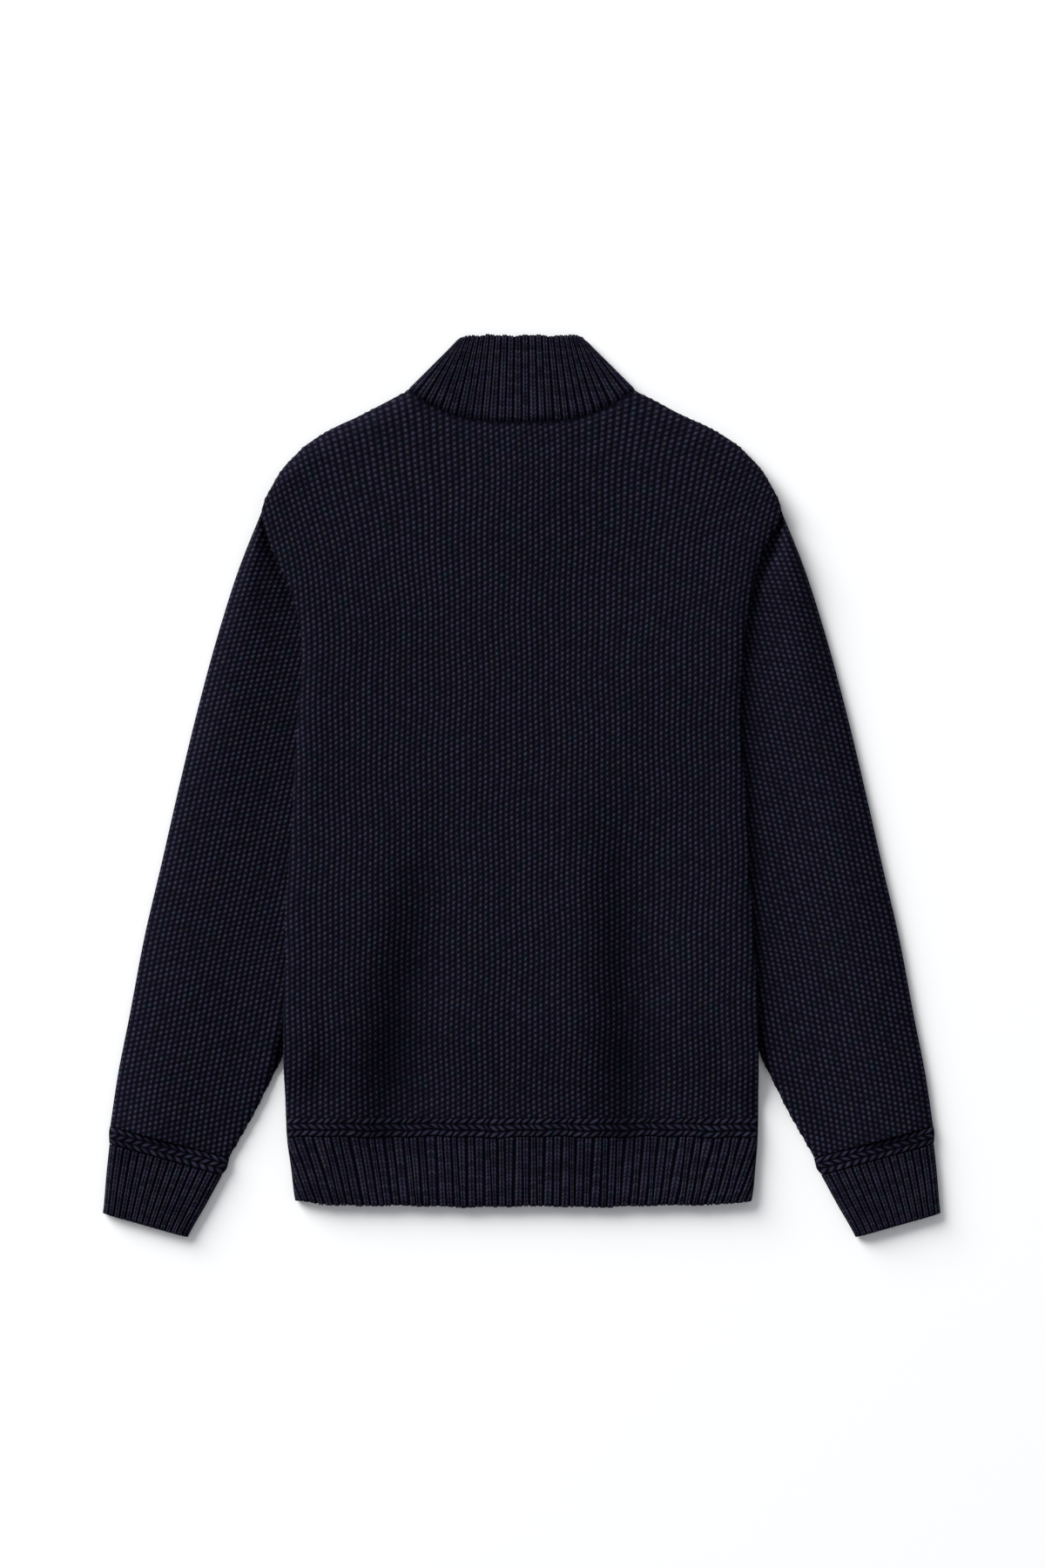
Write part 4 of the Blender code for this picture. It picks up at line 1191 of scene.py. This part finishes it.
def hem_rows(y, tops, lean=0.0):
    """The hem's ring at each y: the base grid, which columns are its top and where these lie."""
    grid, places = [], []
    for row in y:
        left, right = float(read(HEM, "y", "left", row)), float(read(HEM, "y", "right", row))
        up = (row - HEM_EDGE) / (PLAIT_FOOT - HEM_EDGE)
        place = uneven(np.clip(tops * (1 + lean * up * tops**2), -1, 1), 1.0 + 0.9 * up)
        across, low, share, top = ring(left, right, place, np.linspace(0, 1, 24), BAND_RIM, SLOT_HALF)
        sag = HEM_SAG * trough(across, HEM_TOP) * smooth_step((row - HEM_EDGE) / (HEM_TOP - HEM_EDGE))
        z = low + share * (read(HEM, "y", "height", row) - sag - EDGE)
        # Slow and quick waves of half a millimetre keep the hem's edges from being ruled lines.
        bow = HEM_BOW * (across / left) ** 4 + 0.5 * np.sin(across / 17 + 1) + 0.3 * np.sin(across / 6.1)
        sway = 0.6 * np.sin(across / 15) + 0.5 * np.sin(across / 5.7 + 2)
        sway = sway * smooth_step((HEM_TOP - row) / 8) * smooth_step(up)
        grid.append(np.stack([across, row + sway + bow * (1 - up) ** 2 * (up < 1), z], axis=1))
        places.append(place)
    return np.array(grid), top, np.array(places)


def ring_places(x, top, tops):
    """Places round the ring from 0 at the left fold to 1 at the right, the same below as above."""
    places = (x / np.where(x < 0, -x.min(), x.max()) + 1) / 2
    places[top] = (tops + 1) / 2
    return places


def make_hem_rib():
    y = np.concatenate([np.linspace(PLAIT_FOOT - SEAM, -350.0, 44), LAST_ROWS])
    tops = straight_places(HEM_RIBS)
    base, top, places = hem_rows(y, tops, HEM_LEAN)
    u = ring_places(base[0, :, 0], top, tops) * HEM_RIBS
    uv = stitch_grid(u, -base[..., 1] / LOOP)
    fade = smooth_step((1 - np.abs(places)) / HEM_RIM)
    relief = top_relief(base, top, RIB_HEIGHT * (rib(u[top]) - 0.5) * fade)
    relief[-3:, top] -= LAST_SINK * fade[-3:]
    base[-3:, :, 1] -= LAST_SCALLOP * np.maximum(relief[0], 0)
    return band_wall("hem_rib_knit", base, relief, uv, top, rib_knit)


def make_hem_plait():
    tops = straight_places(HEM_STRANDS)
    base, top, _ = hem_rows(np.linspace(HEM_TOP + 0.2, PLAIT_FOOT, 25), tops)
    u = ring_places(base[0, :, 0], top, tops) * HEM_STRANDS
    return plait_wall("hem_plait_knit", base, top, tops, u, HEM_RIM)


hem_rib, hem_plait = make_hem_rib(), make_hem_plait()
for band in (hem_rib, hem_plait):
    mark_painted_fold_shade(band)

# %% [markdown]
# ## The cuffs
#
# A cuff is the same two bands on a smaller ring that closes on itself. Its rows run between the two
# edges in its table. The left cuff is the mirror image of the right one.

# %% Cuffs
CUFF_RIBS = 15
CUFF_STRANDS = 14
CUFF_TOP = 2 * EDGE + 1.6
CUFF_RIM = 0.06  # the stitches flatten out over this share of half the width


def cuff_rows(rows, count, tops):
    """The cuff's rings, its top's columns, its length, and the places round it from 0 to 1."""
    outer, length = along_table(rows, "outer", count)
    inner, _ = along_table(rows, "inner", count)
    grid = []
    for a, b in zip(outer, inner):
        half = np.linalg.norm(a - b) / 2
        across, low, share, top = ring(half, half, tops, np.linspace(0, 1, 8), BAND_RIM)
        place = (a + b) / 2 + across[:, None] * (a - b) / (2 * half)
        z = low + share * (CUFF_TOP - EDGE)
        grid.append(np.concatenate([place, z[:, None]], axis=1))
    return np.array(grid), top, length, (across / half + 1) / 2


def make_cuff(side, word):
    tops = straight_places(CUFF_STRANDS)
    base, top, _, places = cuff_rows(CUFF_PLAIT, 25, tops)
    name = f"cuff_plait_knit_{word}"
    strands = plait_wall(name, base, top, tops, places * CUFF_STRANDS, CUFF_RIM, loop=True, mirror=side)
    tops = straight_places(CUFF_RIBS)
    base, top, length, places = cuff_rows(CUFF_RIB, 46, tops)
    u = places * CUFF_RIBS
    uv = stitch_grid(u, np.linspace(0, length / LOOP, len(base))[:, None])
    fade = smooth_step((1 - np.abs(tops)) / CUFF_RIM)
    relief = top_relief(base, top, RIB_HEIGHT * ((rib(u[top]) - 0.5) * fade))
    relief[-2:, top] -= [[0.3], [0.9]]
    ribs = band_wall(f"cuff_rib_knit_{word}", base, relief, uv, top, rib_knit, loop=True, mirror=side)
    return strands, ribs


cuffs = {word: make_cuff(side, word) for side, word in SIDES}

# %% [markdown]
# ## The collar
#
# The stand collar is one band of rib, folded flat at the sides of the neck and open at the zip. It is
# narrower at its top than at the neck seam, so the ribs fan out, and they crowd together at the folds.
# A straight band could be bent to this with modifiers. Here each row is a blend between two rings, one at
# the seam and one at the top, which keeps it exactly on the neck. It dips under the back's neck edge,
# rolls over at the top, and shows a faint line where the ply that is folded in ends.

# %% Collar
COLLAR_RIBS = 28
COLLAR_TOP, COLLAR_CORNER = 375.85, 373.8
COLLAR_TOP_HALF, COLLAR_BASE_HALF = 51.5, 95.5
COLLAR_FRONT_TOP = 328.0  # where the collar's top lies at the zip
COLLAR_FAN = 1.64  # above 1 the ribs crowd towards the folds at the top
COLLAR_HEIGHT = 10.8  # of the folded collar over the table
COLLAR_RIM = 8.0
COLLAR_RIB_HEIGHT = RIB_HEIGHT * 0.9
FLOOR_RIB = 6.8  # width of a rib on the underside
COLLAR_TUCK = 2.0  # how far the collar's lower edge reaches under the neck's edge
COLLAR_LINE, LINE_WIDTH = 0.82, 0.018  # the faint line's place and width, as shares of the height
LINE_DEPTH = 0.7
FOOT_DIP, FOOT_SHARE = 1.2, 0.08  # how far it sinks at the neck seam
ROLL_DIP, ROLL_SHARE = 1.5, 0.05  # and at its rolled top


def collar_ring(half, tops):
    return ring(half, half, tops, np.linspace(0, 1, 20), COLLAR_RIM, SLOT_HALF)


def make_collar():
    tops = straight_places(COLLAR_RIBS)
    base, low, base_share, top = collar_ring(COLLAR_BASE_HALF, uneven(tops, 2.0))
    fanned = np.sign(tops) * (1 - (1 - np.abs(tops)) ** COLLAR_FAN)
    upper, _, upper_share, _ = collar_ring(COLLAR_TOP_HALF, fanned)
    on_neck = np.minimum(np.abs(base), NECK_HALF)
    base_y = neck_front(on_neck)
    base_y[top] = neck_back(on_neck[top])
    reach = np.minimum(np.abs(upper) / COLLAR_TOP_HALF, 1)
    upper_y = COLLAR_FRONT_TOP + (COLLAR_CORNER - COLLAR_FRONT_TOP) * reach**2
    upper_y[top] = COLLAR_TOP - (COLLAR_TOP - COLLAR_CORNER) * reach[top] ** 12
    u = base / FLOOR_RIB
    u[top] = (tops + 1) / 2 * COLLAR_RIBS
    raised = np.zeros(len(base))
    raised[top] = COLLAR_RIB_HEIGHT * (rib(u[top]) - 0.5) * smooth_step((1 - np.abs(tops)) / 0.03)
    grid = []
    for up in np.concatenate([[1.0, 0.99], np.linspace(0.975, 0, 54)]):
        x = base + (upper - base) * up
        y = base_y + (upper_y - base_y) * up - COLLAR_TUCK * (1 - smooth_step(up / 0.05))
        # At the top each rib stands out, on waves of half a millimetre.
        ripple = 0.9 * np.maximum(raised, 0) + 0.5 * np.sin(x / 5.3) + 0.4 * np.sin(x / 2.3 + 1)
        y = y + (ripple - 0.8) * smooth_step((up - 0.9) / 0.1)
        share = base_share + (upper_share - base_share) * up
        dip = FOOT_DIP * (1 - smooth_step(up / FOOT_SHARE))
        dip += ROLL_DIP * smooth_step((up - 1 + ROLL_SHARE) / ROLL_SHARE)
        dip += LINE_DEPTH * math.exp(-(((up - COLLAR_LINE) / LINE_WIDTH) ** 2))
        grid.append(np.stack([x, y, low + share * (COLLAR_HEIGHT - dip - EDGE)], axis=1))
    grid = np.array(grid)
    relief = np.tile(raised, (len(grid), 1))
    return band_wall("collar_rib_knit", grid, relief, stitch_grid(u, grid[..., 1] / LOOP), top, rib_knit)


collar = make_collar()
mark_painted_fold_shade(collar)

# %% [markdown]
# ## The zip
#
# The photograph doesn't show the zip, which lies under the sweater, so it is a usual metal one with
# teeth 5 mm wide. Each tooth is a small plated block with a blunt nose, clamped on the edge of a woven
# tape, and the two rows stand half a pitch apart.

# %% Sizes of the zip
TOOTH_PITCH = 2.6
TEETH_LOW, TEETH_HIGH = 3.1, 5.5
TEETH_BOTTOM, TEETH_TOP = -340.0, 316.0
TAPE_IN, TAPE_OUT = 3.0, 17.0
TAPE_LOW, TAPE_THICK = 4.0, 0.6
TAPE_BOTTOM, TAPE_TOP = -350.0, 326.0
TAPE_ROWS, TAPE_COLUMNS = 170, 15

# One tooth seen from above, as a ring of corners: it grips the tape at +x and meets its mates at -x.
TOOTH = table(
    "x y",
    (3.5, -0.65),
    (3.5, 0.65),
    (0.9, 0.65),
    (0.3, 0.42),
    (-0.9, 0.42),
    (-1.3, 0.2),
    (-1.3, -0.2),
    (-0.9, -0.42),
    (0.3, -0.42),
    (0.9, -0.65),
)

print("teeth in a row:", round((TEETH_TOP - TEETH_BOTTOM) / TOOTH_PITCH))

# %% [markdown]
# ## The zip's finishes
#
# Plated zinc is smooth and dark, and handling leaves it slightly uneven in gloss, which one noise gives.
# The tape is woven polyester with a little more shine than wool. Its herringbone is a wave whose start
# runs to and fro across the tape, with one thread to the millimetre.

# %% Zip materials
zip_metal, tree, shader = new_material("gunmetal plated zinc")
spot = add(tree, "ShaderNodeTexCoord").outputs["Object"]
rub = add(tree, "ShaderNodeTexNoise", {"Vector": spot, "Scale": 350.0, "Detail": 3.0}).outputs[0]
gloss = add(tree, "ShaderNodeMapRange", {0: rub, 1: 0.3, 2: 0.7, 3: 0.28, 4: 0.46}).outputs[0]
tree.links.new(gloss, shader.inputs["Roughness"])
shader.inputs["Metallic"].default_value = 1.0
shader.inputs["Base Color"].default_value = linear("#5d5f66")

zip_tape, tree, shader = new_material("navy woven polyester tape")
spot = add(tree, "ShaderNodeTexCoord").outputs["Object"]
split = add(tree, "ShaderNodeSeparateXYZ", {0: spot})
zigzag = compute(tree, "PINGPONG", split.outputs[0], 0.0035)
thread = compute(tree, "MULTIPLY", compute(tree, "ADD", split.outputs[1], zigzag), 2 * math.pi / 0.001)
weave = compute(tree, "MULTIPLY_ADD", compute(tree, "SINE", thread), 0.5, 0.5)
threads = {0: weave, 6: linear("#0d0d16"), 7: linear("#232338")}
tone = add(tree, "ShaderNodeMix", threads, data_type="RGBA").outputs[2]
tree.links.new(tone, shader.inputs["Base Color"])
bump = add(tree, "ShaderNodeBump", {"Height": weave, "Distance": 0.0002, "Strength": 0.8})
tree.links.new(bump.outputs[0], shader.inputs["Normal"])
shader.inputs["Roughness"].default_value = 0.7
shader.inputs["IOR"].default_value = 1.57
print("nodes in the tape's finish:", len(tree.nodes))

# %% [markdown]
# ## Teeth and tapes
#
# Teeth could be an array modifier for each row, but as copies of one outline in arrays they are one piece
# at once. The tapes are thin walls with a corded inner edge. The slider, the pull, the box and the stops
# keep their solids, with their edges rounded off.


# %% Zip teeth, tapes and fittings
def make_teeth():
    """Both rows of teeth in one mesh, from one tooth's outline."""
    outline = np.stack([TOOTH["x"], TOOTH["y"]], axis=1)
    corners = len(outline)
    here = np.arange(corners)
    after = (here + 1) % corners
    walls = np.concatenate([
        np.stack([here, here + corners, after + corners], axis=1),
        np.stack([here, after + corners, after], axis=1),
    ])
    cap = np.stack([np.zeros(corners - 2, int), np.arange(1, corners - 1), np.arange(2, corners)], axis=1)
    block = np.concatenate([walls, cap, cap[:, ::-1] + corners])
    spots, faces = [], []
    for side in (-1, 1):
        shift = 0.0 if side > 0 else TOOTH_PITCH / 2
        for y in np.arange(TEETH_BOTTOM + 1.0 + shift, TEETH_TOP - 1.0, TOOTH_PITCH):
            flat = outline * (side, 1) + (0, y)
            low = np.concatenate([flat, np.full((corners, 1), TEETH_LOW)], axis=1)
            high = np.concatenate([flat, np.full((corners, 1), TEETH_HIGH)], axis=1)
            faces.append((block if side > 0 else block[:, ::-1]) + len(spots) * 2 * corners)
            spots.append(np.concatenate([low, high]))
    spots, faces = np.concatenate(spots), np.concatenate(faces)
    mesh_uv = spots[faces.reshape(-1)][:, :2]
    teeth = add_mesh("zip_teeth_rows", spots * MM, faces, mesh_uv, zip_metal)
    teeth.data.shade_flat()
    return teeth


def make_tape(side, name):
    """A woven tape with a corded inner edge, as a thin closed wall."""
    x = np.linspace(TAPE_OUT, TAPE_IN, TAPE_COLUMNS)
    x, y = np.meshgrid(x, np.linspace(TAPE_TOP, TAPE_BOTTOM, TAPE_ROWS))
    cord = 0.25 * np.exp(-(((x - TAPE_IN - 1.0) / 0.8) ** 2))
    ripple = 0.06 * np.sin(y / 19.0) * (x - TAPE_IN) / (TAPE_OUT - TAPE_IN)
    base = np.stack([x, y, TAPE_LOW - cord + ripple], axis=2)
    inner = base + (0, 0, TAPE_THICK)
    lines = range(TAPE_ROWS), range(TAPE_COLUMNS)
    return knit_wall(name, base, inner, np.stack([x, y], axis=2), *lines, zip_tape, mirror=side)


teeth = make_teeth()
tapes = {word: make_tape(side, f"zip_tape_woven_{word}") for side, word in SIDES}
for node in ("zip_box", "zip_stop_left", "zip_stop_right", "zip_slider", "zip_pull"):
    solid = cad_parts[node]
    solid.data.materials.clear()
    solid.data.materials.append(zip_metal)
    rounding = solid.modifiers.new("worn edges", "BEVEL")
    rounding.width = 0.15 * MM
    rounding.segments = 2
    rounding.limit_method = "ANGLE"

# %% [markdown]
# ## Fixing the pieces to the model
#
# Every piece rides on the garment's body and hides the solids that it stands for.


def place_cloth(piece, nodes):
    """Ties a cloth piece to the garment and hides its solids."""
    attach(piece, "garment")
    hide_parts(*nodes)


for half in back_halves:
    under = ["front_knit_left" if half.name.endswith("left") else "front_knit_right"]
    place_cloth(half, ["back_panel"])
for word in ("left", "right"):
    place_cloth(fronts[word], [f"front_{word}"])
    place_cloth(sleeves[word], [f"sleeve_{word}"])
    strands, ribs = cuffs[word]
    place_cloth(strands, [f"cuff_plait_{word}"])
    place_cloth(ribs, [f"cuff_rib_{word}"])
    place_cloth(tapes[word], [f"zip_tape_{word}"])
place_cloth(hem_rib, ["hem_rib"])
place_cloth(hem_plait, ["hem_plait"])
place_cloth(collar, ["collar"])
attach(teeth, "garment")
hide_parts("zip_teeth")

# %% [markdown]
# ## The table, the light and the camera
#
# The photograph is a plain product picture from straight above: white ground, one broad soft light from
# the upper left, and a close soft shadow to the right and below. The navy is so dark that the ground can
# be lit to pure white while the stitches still keep their shape. The Standard view leaves that white and
# the dark of the yarn as they are, where a film-like view would grey them.

# %% Table, light and camera
GROUND = 6.0  # metres from the middle to the ground's edges, further than the camera sees
table_mesh = bpy.data.meshes.new("table_top")
corners = [(-GROUND, -GROUND, 0), (GROUND, -GROUND, 0), (GROUND, GROUND, 0), (-GROUND, GROUND, 0)]
table_mesh.from_pydata(corners, [], [(0, 1, 2, 3)])
white_paper, tree, shader = new_material("white paper ground")
spot = add(tree, "ShaderNodeTexCoord").outputs["Object"]
grain = add(tree, "ShaderNodeTexNoise", {"Vector": spot, "Scale": 900.0}).outputs[0]
bump = add(tree, "ShaderNodeBump", {"Height": grain, "Distance": 0.00005, "Strength": 0.2})
tree.links.new(bump.outputs[0], shader.inputs["Normal"])
shader.inputs["Base Color"].default_value = linear("#f4f4f4")
shader.inputs["Roughness"].default_value = 0.9
table_mesh.materials.append(white_paper)
table_top = bpy.data.objects.new("table_top", table_mesh)
table_top.location.z = -0.0002
bpy.context.scene.collection.objects.link(table_top)


def add_light(name, place, size, power, target=(0, 0, 0)):
    """A soft square light that faces a target."""
    light = bpy.data.lights.new(name, "AREA")
    light.size = size
    light.energy = power
    lamp = bpy.data.objects.new(name, light)
    lamp.location = place
    lamp.rotation_euler = (Vector(target) - Vector(place)).to_track_quat("-Z", "Y").to_euler()
    bpy.context.scene.collection.objects.link(lamp)
    return lamp


# A large box far off lights the whole sweater evenly, and its low angle shows the relief.
add_light("softbox upper left", (-12.8, 12.6, 8.8), 13.0, 7500.0)
sky = bpy.data.worlds.new("studio walls")
sky.use_nodes = True
sky.node_tree.nodes["Background"].inputs["Color"].default_value = (0.94, 0.96, 1.0, 1.0)
sky.node_tree.nodes["Background"].inputs["Strength"].default_value = 0.43
bpy.context.scene.world = sky
bpy.context.scene.view_settings.view_transform = "Standard"

PHOTO_HEIGHT = 1.309  # metres of table that the photograph's height covers
lens = bpy.data.cameras.new("camera")
lens.lens = 100.0
lens.sensor_width = 36.0
camera = bpy.data.objects.new("camera", lens)
# The photograph's middle is 0.7 mm off the sweater's, and its scale holds 8 mm above the ground.
camera.location = (0.0007, 0.0007, PHOTO_HEIGHT * lens.lens / lens.sensor_width + 0.008)
bpy.context.scene.collection.objects.link(camera)
bpy.context.scene.camera = camera
print(f"the camera hangs {camera.location.z:.2f} m over the table")
